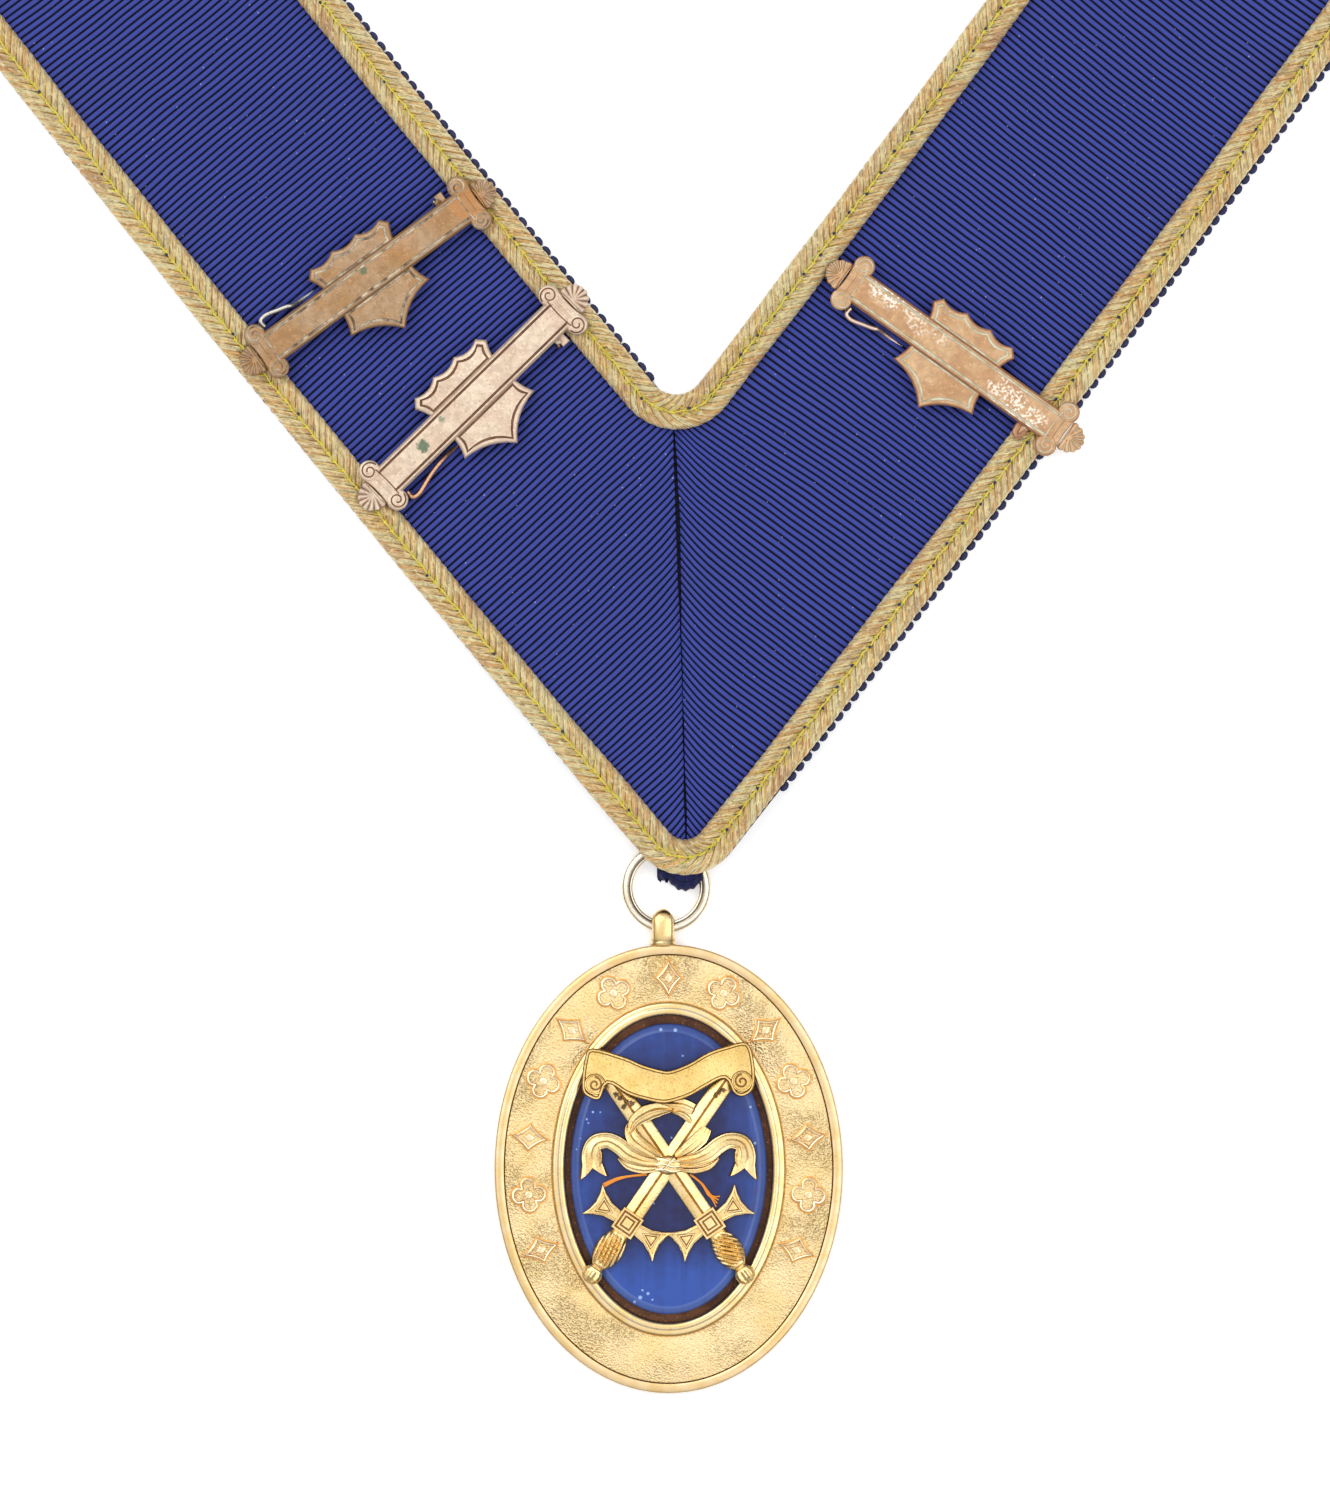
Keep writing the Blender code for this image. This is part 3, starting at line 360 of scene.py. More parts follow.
class Bench:
    """Adds and joins the nodes of one material."""

    def __init__(self, name: str) -> None:
        """Starts a material.

        Args:
            name: The material's name.
        """
        self.material = bpy.data.materials.new(name)
        self.material.use_nodes = True
        self.tree = self.material.node_tree
        self.shader = self.tree.nodes["Principled BSDF"]

    def add(
        self, kind: str, inputs: dict[str | int, object] | None = None, **settings: object
    ) -> bpy.types.Node:
        """Adds a node.

        Args:
            kind: The node's type without its prefix.
            inputs: Values or sockets for its inputs.
            settings: The node's own settings.

        Returns:
            The node.
        """
        node = self.tree.nodes.new("ShaderNode" + kind)
        for name, value in settings.items():
            setattr(node, name, value)
        self.fill(node, inputs or {})
        return node

    def fill(self, node: bpy.types.Node, inputs: dict[str | int, object]) -> None:
        """Gives a node's inputs their values or links.

        Args:
            node: The node.
            inputs: Values or sockets by input name or number.
        """
        for key, value in inputs.items():
            if isinstance(value, Socket):
                self.tree.links.new(value, node.inputs[key])
            else:
                node.inputs[key].default_value = value

    def sum(self, operation: str, *values: object) -> Socket:
        """Works out one number from numbers or sockets."""
        return self.add("Math", dict(enumerate(values)), operation=operation).outputs[0]

    def times(self, value: object, by: object) -> Socket:
        """One number times another."""
        return self.sum("MULTIPLY", value, by)

    def line(self, value: object, by: float, start: object) -> Socket:
        """One number times another, and a third added."""
        return self.sum("MULTIPLY_ADD", value, by, start)

    def wave(self, turns: object) -> Socket:
        """A wave from -1 to 1 that tops at each whole turn."""
        return self.sum("COSINE", self.times(turns, math.tau))

    def mix(self, share: object, low: object, high: object, strength: float | None = None) -> Socket:
        """Mixes two colours.

        Args:
            share: How much of the second colour.
            low: The first colour, or a socket.
            high: The second colour, or a socket.
            strength: What the share is multiplied by.

        Returns:
            The mixed colour's socket.
        """
        if strength is not None:
            share = self.times(share, strength)
        node = self.add("Mix", data_type="RGBA")
        self.fill(node, {0: share, 6: as_colour(low), 7: as_colour(high)})
        return node.outputs[2]

    def step(self, value: object, low: float, high: float) -> Socket:
        """A soft step from 0 to 1.

        Args:
            value: The number that is read.
            low: Where the step starts.
            high: Where it ends.

        Returns:
            The step's socket.
        """
        node = self.add("MapRange", {0: value, 1: low, 2: high, 3: 0.0, 4: 1.0})
        node.interpolation_type = "SMOOTHSTEP"
        return node.outputs[0]

    def noise(self, where: object, size: float, detail: float = 2.0) -> Socket:
        """Soft noise with patches of a size, and so much fine detail."""
        return self.add("TexNoise", {"Vector": where, "Scale": 1 / size, "Detail": detail}).outputs[0]

    def cells(self, where: object, size: float) -> Socket:
        """How far it is to the nearest of many scattered dots, as a share of their distance."""
        return self.add("TexVoronoi", {"Vector": where, "Scale": 1 / size}).outputs["Distance"]

    def place(self) -> Socket:
        """The coordinates in the row's frame."""
        return self.add("TexCoord").outputs["Object"]

    def reach(self, spot: Point) -> Socket:
        """How far it is to a spot, seen from above.

        Args:
            spot: Its place in the row's frame, in millimetres.

        Returns:
            The distance's socket.
        """
        parts = self.add("SeparateXYZ", {0: self.place()}).outputs
        level = self.add("CombineXYZ", {0: parts[0], 1: parts[1]}).outputs[0]
        centre = (spot[0] * MM, spot[1] * MM, 0.0)
        return self.add("VectorMath", {0: level, 1: centre}, operation="DISTANCE").outputs["Value"]

    def flat(self) -> tuple[Socket, Socket, Socket]:
        """The flat cloth coordinates.

        Returns:
            The sockets of both together, along and across.
        """
        both = self.add("UVMap", uv_map="flat").outputs[0]
        parts = self.add("SeparateXYZ", {0: both})
        return both, parts.outputs[0], parts.outputs[1]

    def relief(self, height: object, depth: float) -> None:
        """Gives the surface fine relief, from its height from 0 to 1 and how high 1 is."""
        bump = self.add("Bump", {"Height": height, "Distance": depth, "Strength": 1.0})
        self.fill(self.shader, {"Normal": bump.outputs[0]})

    def finish(self, inputs: dict[str, object]) -> Finish:
        """Sets the shader's own values, and gives back the material."""
        self.fill(self.shader, inputs)
        return self.material


def as_colour(value: object) -> object:
    """A colour with its fourth number, or a socket as it is."""
    return (*value, 1.0) if isinstance(value, tuple) and len(value) == 3 else value


def paint(red: int, green: int, blue: int) -> Colour:
    """A colour seen on a screen, each number from 0 to 255, as the shader's light values."""
    shares = (value / 255 for value in (red, green, blue))
    return tuple(s / 12.92 if s <= 0.04045 else ((s + 0.055) / 1.055) ** 2.4 for s in shares)


@dataclass(frozen=True)
class RibbedSilk:
    """Corded ribbon silk: rounded ribs wound with fine thread."""

    name: str
    top: Colour = paint(62, 75, 168)
    # The near-black groove colour is painted shade for the dips between the ribs.
    groove: Colour = paint(8, 6, 24)
    faded: Colour = paint(62, 70, 124)
    pitch: float = 1.125 * MM
    thread: float = 0.37 * MM

    def make(self) -> Finish:
        """Makes the material.

        Returns:
            The material.
        """
        bench = Bench(self.name)
        both, along, across = bench.flat()
        turns = bench.sum("DIVIDE", along, self.pitch)
        rise = bench.step(bench.wave(turns), 0.1, 0.85)
        number = bench.sum("FLOOR", turns)
        wound = bench.sum("ADD", bench.sum("DIVIDE", across, self.thread), bench.times(number, 0.5))
        drift = bench.times(bench.noise(both, 3 * MM), 0.8)
        thread = bench.line(bench.wave(bench.sum("ADD", wound, drift)), 0.5, 0.5)
        worn = bench.step(bench.noise(both, 14 * MM, 4), 0.52, 0.72)
        top = bench.mix(worn, self.top, self.faded, 0.4)
        colour = bench.mix(thread, top, tuple(share * 0.5 for share in self.top), 0.86)
        shade = bench.times(bench.noise(both, 0.5 * MM, 3), 0.5)
        cloud = bench.step(bench.noise(both, 7 * MM, 4), 0.4, 0.65)
        shade = bench.sum("ADD", shade, bench.times(cloud, 0.45))
        colour = bench.mix(shade, colour, tuple(share * 0.75 for share in self.top))
        # Painted shade: where rise tops, in the dips between the ribs, the colour goes to the near-black
        # groove colour.
        colour = bench.mix(rise, colour, self.groove)
        dust = bench.step(bench.cells(bench.place(), 2.6 * MM), 0.06, 0.035)
        colour = bench.mix(dust, colour, paint(190, 190, 205), 0.6)
        bench.relief(bench.times(thread, -1.0), 0.07 * MM)
        shine = {"Roughness": 0.6, "Specular IOR Level": 0.25, "Sheen Weight": 0.04}
        return bench.finish({"Base Color": colour, **shine})


@dataclass(frozen=True)
class MetalThread:
    """Lace woven of flattened gilt thread, a little tarnished."""

    name: str
    pale: Colour = paint(255, 241, 188)
    warm: Colour = paint(250, 202, 132)
    tarnish: Colour = paint(218, 160, 122)
    green: Colour = paint(150, 152, 98)
    # The dark line colour is painted shade between the bundles and between the threads; it also tints random
    # dark flecks.
    line: Colour = paint(104, 74, 40)
    thread: float = 0.34 * MM
    bundle: float = 1.7 * MM

    def make(self) -> Finish:
        """Makes the material.

        Returns:
            The material.
        """
        bench = Bench(self.name)
        both, along, across = bench.flat()
        wander = bench.times(bench.noise(both, 1.6 * MM, 2), 0.35 * MM)
        run = bench.sum("ADD", along, wander)
        turns = bench.sum("DIVIDE", run, self.thread)
        wave = bench.line(bench.wave(turns), 0.5, 0.5)
        single = bench.add("TexWhiteNoise", {"W": bench.sum("FLOOR", turns)}, noise_dimensions="1D")
        colour = bench.mix(bench.step(single.outputs[0], 0.2, 0.8), self.pale, self.warm)
        patch = bench.step(bench.noise(both, 6 * MM, 4), 0.5, 0.72)
        colour = bench.mix(patch, colour, self.tarnish, 0.6)
        moss = bench.step(bench.noise(bench.place(), 3.2 * MM, 3), 0.64, 0.74)
        colour = bench.mix(moss, colour, self.green, 0.3)
        # Painted shade in the gaps between the bundles, deepest beside the middle groove.
        gap = bench.step(bench.wave(bench.sum("DIVIDE", run, self.bundle)), 0.78, 1.0)
        inner = bench.step(bench.sum("ABSOLUTE", across), 2.6 * MM, 0.7 * MM)
        colour = bench.mix(bench.times(gap, bench.line(inner, 0.6, 0.35)), colour, self.line)
        # Painted shade between the threads, uneven in strength.
        uneven = bench.step(bench.noise(both, 1.1 * MM, 3), 0.42, 0.62)
        between = bench.times(bench.step(wave, 0.45, 0.9), bench.line(uneven, 0.7, 0.1))
        colour = bench.mix(between, colour, self.line)
        fleck = bench.step(bench.noise(bench.place(), 0.55 * MM, 3), 0.56, 0.68)
        colour = bench.mix(fleck, colour, self.line, 0.4)
        # Painted highlight: random pale glints on the thread.
        bright = bench.step(bench.noise(both, 0.9 * MM, 2), 0.54, 0.64)
        colour = bench.mix(bright, colour, self.pale, 0.8)
        bench.relief(bench.sum("SUBTRACT", 1.0, wave), 0.16 * MM)
        return bench.finish({"Base Color": colour, "Roughness": 0.32, "Metallic": 0.22})


@dataclass(frozen=True)
class PlainThread:
    """Sewing thread or loose strands of one colour."""

    name: str
    colour: Colour
    dark: Colour
    rough: float = 0.6

    def make(self) -> Finish:
        """Makes the material.

        Returns:
            The material.
        """
        bench = Bench(self.name)
        where = bench.place()
        colour = bench.mix(bench.noise(where, 0.8 * MM, 3), self.colour, self.dark)
        bench.relief(bench.noise(where, 0.15 * MM), 0.03 * MM)
        return bench.finish({"Base Color": colour, "Roughness": self.rough})


@dataclass(frozen=True)
class Spot:
    """A stain or a worn place, in millimetres in the row's frame."""

    place: Point
    radius: float
    colour: Colour
    strength: float
    worn: bool = False

    def lay_on(self, bench: Bench, colour: Socket) -> Socket:
        """Lays the spot with its ragged edge over a colour.

        Args:
            bench: The material's bench.
            colour: The colour's socket.

        Returns:
            The new colour's socket.
        """
        where = bench.place()
        ragged = bench.noise(where, self.radius * 0.7 * MM, 4)
        edge = bench.line(ragged, -self.radius * 1.6 * MM, bench.reach(self.place))
        share = bench.step(edge, 0.1 * self.radius * MM, -0.35 * self.radius * MM)
        if self.worn:
            share = bench.times(share, bench.step(bench.noise(where, 0.5 * MM, 5), 0.46, 0.6))
        return bench.mix(share, colour, self.colour, self.strength)


@dataclass(frozen=True)
class GiltMetal:
    """Gilt or bronze surface with soft wear, and stipple where it was cast with one."""

    name: str
    colour: Colour
    warm: Colour
    dirt: Colour
    rough: float = 0.3
    stipple: float = 0.0
    metallic: float = 1.0
    patch: float = 4 * MM
    dirt_share: float = 0.5
    mottle: float = 0.0
    spots: tuple[Spot, ...] = ()

    def make(self) -> Finish:
        """Makes the material.

        Returns:
            The material.
        """
        bench = Bench(self.name)
        where = bench.place()
        patches = bench.step(bench.noise(where, self.patch, 4), 0.3, 0.7)
        colour = bench.mix(patches, self.colour, self.warm)
        if self.mottle:
            cloud = bench.step(bench.noise(where, 1.3 * MM, 6), 0.4, 0.62)
            darker = tuple(share * 0.62 for share in self.warm)
            colour = bench.mix(cloud, colour, darker, self.mottle)
            scuff = bench.step(bench.noise(where, 0.5 * MM, 5), 0.56, 0.68)
            paler = tuple(min(share * 1.5, 1.0) for share in self.colour)
            colour = bench.mix(scuff, colour, paler, self.mottle)
        fine = bench.noise(where, 0.45 * MM, 3)
        colour = bench.mix(bench.step(fine, 0.56, 0.74), colour, self.dirt, self.dirt_share)
        for spot in self.spots:
            colour = spot.lay_on(bench, colour)
        if self.stipple:
            pit = bench.cells(where, 0.36 * MM)
            height = bench.sum("ADD", bench.times(fine, 0.5), pit)
            lobes = bench.step(bench.noise(where, 9 * MM, 2), 0.36, 0.62)
            bench.relief(bench.times(height, bench.line(lobes, 0.6, 0.4)), self.stipple)
            fleck = bench.step(bench.noise(where, 0.32 * MM, 2), 0.55, 0.68)
            colour = bench.mix(fleck, colour, self.dirt, 0.36)
        else:
            bench.relief(fine, 0.02 * MM)
        rough = bench.line(fine, 0.2, self.rough - 0.1)
        return bench.finish({"Base Color": colour, "Roughness": rough, "Metallic": self.metallic})


@dataclass(frozen=True)
class ClearEnamel:
    """Deep blue enamel over a ground cut with rays."""

    name: str
    deep: Colour = paint(24, 24, 72)
    bright: Colour = paint(42, 76, 158)
    centre: Point = (0.0, 0.0)
    height: float = 26 * MM
    blisters: tuple[tuple[Point, float], ...] = (
        ((-3.4, -250.2), 0.42), ((-2.0, -249.5), 0.34), ((-4.4, -251.0), 0.3), ((-1.2, -250.6), 0.22),
        ((-3.0, -248.9), 0.24), ((0.3, -202.1), 0.36), ((2.9, -202.2), 0.4), ((-13.0, -218.2), 0.22),
        ((-11.9, -216.9), 0.26), ((17.2, -222.5), 0.3), ((16.4, -216.0), 0.26), ((-2.2, -240.4), 0.2),
    )

    def make(self) -> Finish:
        """Makes the material.

        Returns:
            The material.
        """
        bench = Bench(self.name)
        parts = bench.add("SeparateXYZ", {0: bench.place()}).outputs
        x = bench.sum("SUBTRACT", parts[0], self.centre[0])
        y = bench.sum("DIVIDE", bench.sum("SUBTRACT", parts[1], self.centre[1]), self.height)
        # Lighter towards the bottom, the top and the sides, with the rays of the cut ground: partly the
        # enamel's own tone, partly painted shade, the dark middle standing for the emblem's shadow.
        low, high = bench.step(y, -0.35, -0.85), bench.step(y, 0.45, 0.95)
        glow = bench.sum("ADD", low, bench.times(high, 0.5))
        side = bench.step(bench.sum("ABSOLUTE", x), 7 * MM, 16 * MM)
        glow = bench.sum("ADD", glow, bench.times(side, 0.6))
        streak = bench.add("CombineXYZ", {0: x, 1: bench.times(y, 0.6 * MM)}).outputs[0]
        rays = bench.step(bench.noise(streak, 1.3 * MM, 3), 0.35, 0.7)
        glow = bench.times(glow, bench.line(rays, 0.2, 0.84))
        cloud = bench.line(bench.noise(bench.place(), 1.6 * MM, 5), 0.5, -0.2)
        glow = bench.sum("ADD", glow, bench.line(rays, 0.06, cloud))
        glow = bench.sum("MAXIMUM", bench.sum("MINIMUM", glow, 1.0), 0.0)
        colour = bench.mix(glow, self.deep, self.bright)
        bubble = bench.step(bench.cells(bench.place(), 3.1 * MM), 0.075, 0.04)
        colour = bench.mix(bubble, colour, paint(130, 160, 225))
        for spot, radius in self.blisters:
            share = bench.step(bench.reach(spot), radius * MM, radius * 0.6 * MM)
            colour = bench.mix(share, colour, paint(160, 190, 238), 0.75)
        shine = {"Specular IOR Level": 0.2, "Coat Weight": 0.35, "Coat Roughness": 0.04}
        return bench.finish({"Base Color": colour, "Roughness": 0.3, **shine})


@dataclass(frozen=True)
class StudioPaper:
    """The pale surface that the collar lies on."""

    name: str
    colour: Colour = (0.93, 0.93, 0.935)

    def make(self) -> Finish:
        """Makes the material.

        Returns:
            The material.
        """
        bench = Bench(self.name)
        grain = bench.noise(bench.place(), 2 * MM)
        colour = bench.mix(grain, self.colour, tuple(share * 0.995 for share in self.colour))
        glow = {"Emission Color": (1.0, 1.0, 1.0, 1.0), "Emission Strength": 0.3}
        return bench.finish({"Base Color": colour, "Roughness": 0.9, **glow})


# Colour, warm patches and dirt of each metal
SILVER = paint(242, 234, 216), paint(226, 206, 172), paint(160, 134, 100)
# The ring's step: a dark line where its coils meet, spread over its inner slope as painted shade.
RING_STEP_SHADE = paint(172, 162, 146), paint(140, 128, 108), paint(96, 82, 64)
GILT = paint(234, 208, 160), paint(226, 194, 130), paint(176, 128, 64)
GILT_LINE = paint(96, 66, 30), paint(120, 84, 40), paint(60, 40, 20)
MATT_GILT = paint(222, 198, 152), paint(216, 188, 132), paint(158, 126, 76)
# Painted shade: dark brown for the frame's inner wall and the back plate, which show in the deep gap round
# the plaque.
GAP_SHADE_GILT = paint(122, 78, 48), paint(82, 50, 32), paint(214, 150, 100)
# Painted shade: orange on the motifs' feet and inner slopes and in the dip before the moulding.
MOTIF_SHADE = paint(206, 146, 76), paint(222, 172, 102), paint(160, 98, 44)
# Painted highlight: the pale ridges of the motifs, the moulding's thin line and the knot's folds.
MOTIF_HIGHLIGHT = paint(238, 222, 190), paint(232, 206, 160), paint(190, 150, 100)
RIM_GILT = paint(222, 196, 154), paint(212, 180, 124), paint(176, 128, 64)
CAST_GILT = paint(242, 216, 160), paint(232, 196, 128), paint(150, 104, 60)
EMBLEM_LINE = paint(150, 108, 58), paint(120, 82, 42), paint(84, 56, 28)
SCROLL_GILT = paint(232, 202, 134), paint(218, 182, 108), paint(140, 98, 48)
SCROLL_RIM = paint(150, 110, 70), paint(124, 86, 54), paint(92, 62, 40)


# The collar's path


@dataclass
class CollarLay:
    """How the collar lies: the path of its middle line, the tip's lift and the turn."""

    width: float = 56.2 * MM
    half_angle: float = math.radians(39.3)
    limb_length: float = 187 * MM
    bow_radius: float = 3.7
    tilt: float = math.radians(1.1)
    lift: float = 4.4 * MM
    lift_flat: float = 12 * MM
    lift_ramp: float = 56 * MM
    ring_across: float = -3.7 * MM
    ring_up: float = 3.467 * MM
    corner: Vector = field(default_factory=lambda: Vector((0.0, 0.0)))
    shoulder_angle: float = 0.0
    neck_radius: float = 0.0
    half_length: float = 0.0
    apex: float = 0.0
    shoulder_y: float = 0.0

    def __post_init__(self) -> None:
        """Works out the neck curve, and finds the tip's corner from the ring's place."""
        self.shoulder_angle = self.half_angle - self.limb_length / self.bow_radius
        across = math.cos(self.shoulder_angle) - math.cos(self.half_angle)
        self.neck_radius = self.bow_radius * across / math.cos(self.shoulder_angle)
        self.shoulder_y = self.bow_radius * (math.sin(self.half_angle) - math.sin(self.shoulder_angle))
        self.half_length = self.limb_length + self.neck_radius * (self.shoulder_angle + math.pi / 2)
        self.apex = self.width / 2 / math.sin(self.half_angle)
        low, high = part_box("hanging_ring")
        middle = (low + high) / 2
        self.corner = Vector((middle.x - self.ring_across, middle.y - self.ring_up))

    def heading(self, along: np.ndarray) -> np.ndarray:
        """The limb's direction from +Y at lengths along the middle line from the mitre."""
        limb = self.half_angle - np.clip(along, 0, self.limb_length) / self.bow_radius
        return limb - np.maximum(along - self.limb_length, 0) / self.neck_radius

    def point(self, along: np.ndarray, outward: np.ndarray) -> np.ndarray:
        """Points of the right-hand limb, the tip's corner being zero.

        Args:
            along: Lengths along the middle line.
            outward: Places outward from it.

        Returns:
            Rows of x and y.
        """
        along, outward = np.broadcast_arrays(np.asarray(along, float), np.asarray(outward, float))
        heading = self.heading(along)
        bow = self.bow_radius
        x = bow * (np.cos(heading) - math.cos(self.half_angle))
        y = bow * (math.sin(self.half_angle) - np.sin(heading))
        before = along < 0
        x = np.where(before, along * math.sin(self.half_angle), x)
        y = np.where(before, along * math.cos(self.half_angle), y)
        beyond = along > self.limb_length
        x = np.where(beyond, self.neck_radius * np.cos(heading), x)
        curve = self.shoulder_y + self.neck_radius * (math.sin(self.shoulder_angle) - np.sin(heading))
        y = np.where(beyond, curve, y)
        return together(x + outward * np.cos(heading), y - outward * np.sin(heading) + self.apex)

    def seam_start(self, outward: float) -> float:
        """Where a line beside the middle line meets the middle of the V.

        Args:
            outward: How far outward the line lies.

        Returns:
            The length along the middle line.
        """
        along = -outward / math.tan(self.half_angle)
        for _ in range(8):
            x = self.point(along, outward)[..., 0]
            along = float(along - x / np.sin(self.heading(np.asarray(along))))
        return along

    def lift_at(self, y: np.ndarray) -> np.ndarray:
        """How high the collar rides over the tab and ring at distances above the tip."""
        share = np.clip((y - self.lift_flat) / self.lift_ramp, 0, 1)
        return self.lift * (1 - share * share * (3 - 2 * share))

    def set_down(self, points: np.ndarray, mirror: bool = False) -> np.ndarray:
        """Puts points of the flat collar where it lies.

        Args:
            points: Rows of x, y and height above the surface.
            mirror: Whether they go to the left-hand limb.

        Returns:
            Rows of x, y and z in the row's frame.
        """
        x = -points[..., 0] if mirror else points[..., 0]
        y = points[..., 1]
        cos, sin = math.cos(self.tilt), math.sin(self.tilt)
        height = points[..., 2] + self.lift_at(y)
        return together(self.corner.x + x * cos - y * sin, self.corner.y + x * sin + y * cos, height)


def ripple(along: np.ndarray, across: np.ndarray, size: float, seed: float) -> np.ndarray:
    """Slow waves from -1 to 1 for hand-sewn cloth, the same on every run."""
    a, b = along / size + seed, across / size - seed
    return (np.sin(a * 2.1 + 1.3 * np.sin(b * 1.7 + seed)) + np.sin(b * 2.9 - a * 0.9 + 2 * seed)) / 2


@dataclass
class RibbonHalf:
    """The cut of one half of a ribbon: rows across it, from the mitre to the back of the neck."""

    lay: CollarLay
    half_width: float
    tip_radius: float

    def rows(self, step: float) -> tuple[np.ndarray, np.ndarray, np.ndarray]:
        """Rows square across the limb, cut off at the mitre and round the tip.

        Args:
            step: The rows' distance.

        Returns:
            Places along, and the inner and outer end of each row.
        """
        middle = self.half_width - self.tip_radius
        start = self.lay.seam_start(middle)
        first = start - self.tip_radius * math.cos(self.lay.half_angle) * 0.985
        along = np.arange(first, self.lay.half_length, step)
        below = np.maximum(start - along, 0)
        outer = middle + np.sqrt(np.maximum(self.tip_radius**2 - below**2, 0))
        outer = np.where(along < start, outer, self.half_width)
        heading = self.lay.heading(along)
        inner = np.zeros_like(along)
        for _ in range(4):
            inner -= (self.lay.point(along, inner)[:, 0] - GAP / 2) / np.cos(heading)
        inner = np.maximum(inner, -self.half_width)
        inner = np.where(along > self.lay.limb_length * 0.6, -self.half_width, inner)
        return along, inner, np.maximum(outer, inner + 0.05 * MM)


@dataclass
class FaceRibbon:
    """One half of the blue face ribbon, ribbed across, from the front seam to the back seam."""

    lay: CollarLay
    side: Side
    base: float = 1.3 * MM
    thickness: float = 1.2 * MM
    inset: float = 1.0 * MM
    tip_radius: float = 9.05 * MM
    pitch: float = 1.125 * MM
    rib_depth: float = 0.42 * MM
    rib_points: tuple[Point, ...] = ((0.0, 0.0), (0.2, 0.78), (0.5, 1.0), (0.8, 0.78))
    columns: int = 13
    seam_rise: float = 1.5 * MM
    seam_reach: float = 2.6 * MM
    seed: float = 1.0
    slants: tuple[Point, ...] = ((0, 0.0), (300, 0.0))

    def dress(self, silk: Finish) -> Piece:
        """Builds the ribbon.

        Args:
            silk: Its finish.

        Returns:
            The piece.
        """
        half = self.lay.width / 2 - self.inset
        steps = len(self.rib_points)
        along, inner, outer = RibbonHalf(self.lay, half, self.tip_radius).rows(self.pitch / steps)
        phase = np.arange(len(along)) % steps
        table = np.array(self.rib_points)
        ribs = np.arange(len(along)) // steps
        along = along[0] + (ribs + table[phase, 0]) * self.pitch
        rise = table[phase, 1]
        share = (np.arange(self.columns) / (self.columns - 1)) ** 1.35
        across = inner[:, None] + (outer - inner)[:, None] * share
        spots, slants = np.array(self.slants).T
        slant = np.tan(np.radians(np.interp(along / MM, spots, slants)))
        bent = along[:, None] - slant[:, None] * across
        bent = bent + ripple(along[:, None], across, 23 * MM, self.seed) * 0.26 * MM
        bent = bent + ripple(along[:, None] * 1.7, across, 6 * MM, self.seed + 2) * 0.09 * MM
        flat = self.lay.point(bent, across)
        near = np.exp(-np.maximum(flat[..., 0], 0) / self.seam_reach)
        front = self.lay.seam_start(-half) + 6 * MM
        fade = np.clip((front - along) / (8 * MM), 0, 1)[:, None]
        flat[..., 1] += self.seam_rise * near * fade
        height = self.base + self.thickness - self.rib_depth * (1 - rise)[:, None]
        height = height + ripple(along[:, None], across, 31 * MM, self.seed + 4) * 0.12 * MM
        dip = np.exp(-np.maximum(flat[..., 0], 0) / (0.7 * MM)) * 0.45 * MM
        height = height - dip * fade
        under = flat[:, ::-1][:, [0, -1]]
        rings = np.concatenate([raised(flat, height), raised(under, self.base)], axis=1)
        flats = together((along - along[0])[:, None], across)
        flats = np.concatenate([flats, flats[:, ::-1][:, [0, -1]]], axis=1)
        shape = Shape()
        mirror = self.side is Side.LEFT
        rings = self.lay.set_down(rings, mirror)
        if mirror:
            rings, flats = rings[:, ::-1], flats[:, ::-1]
        shape.add_loft(rings[:, ::-1], flats[:, ::-1])
        name = "ribbon_left" if mirror else "ribbon_right"
        piece = shape.build("silk_" + name, [silk], 70)
        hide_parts(name)
        return piece


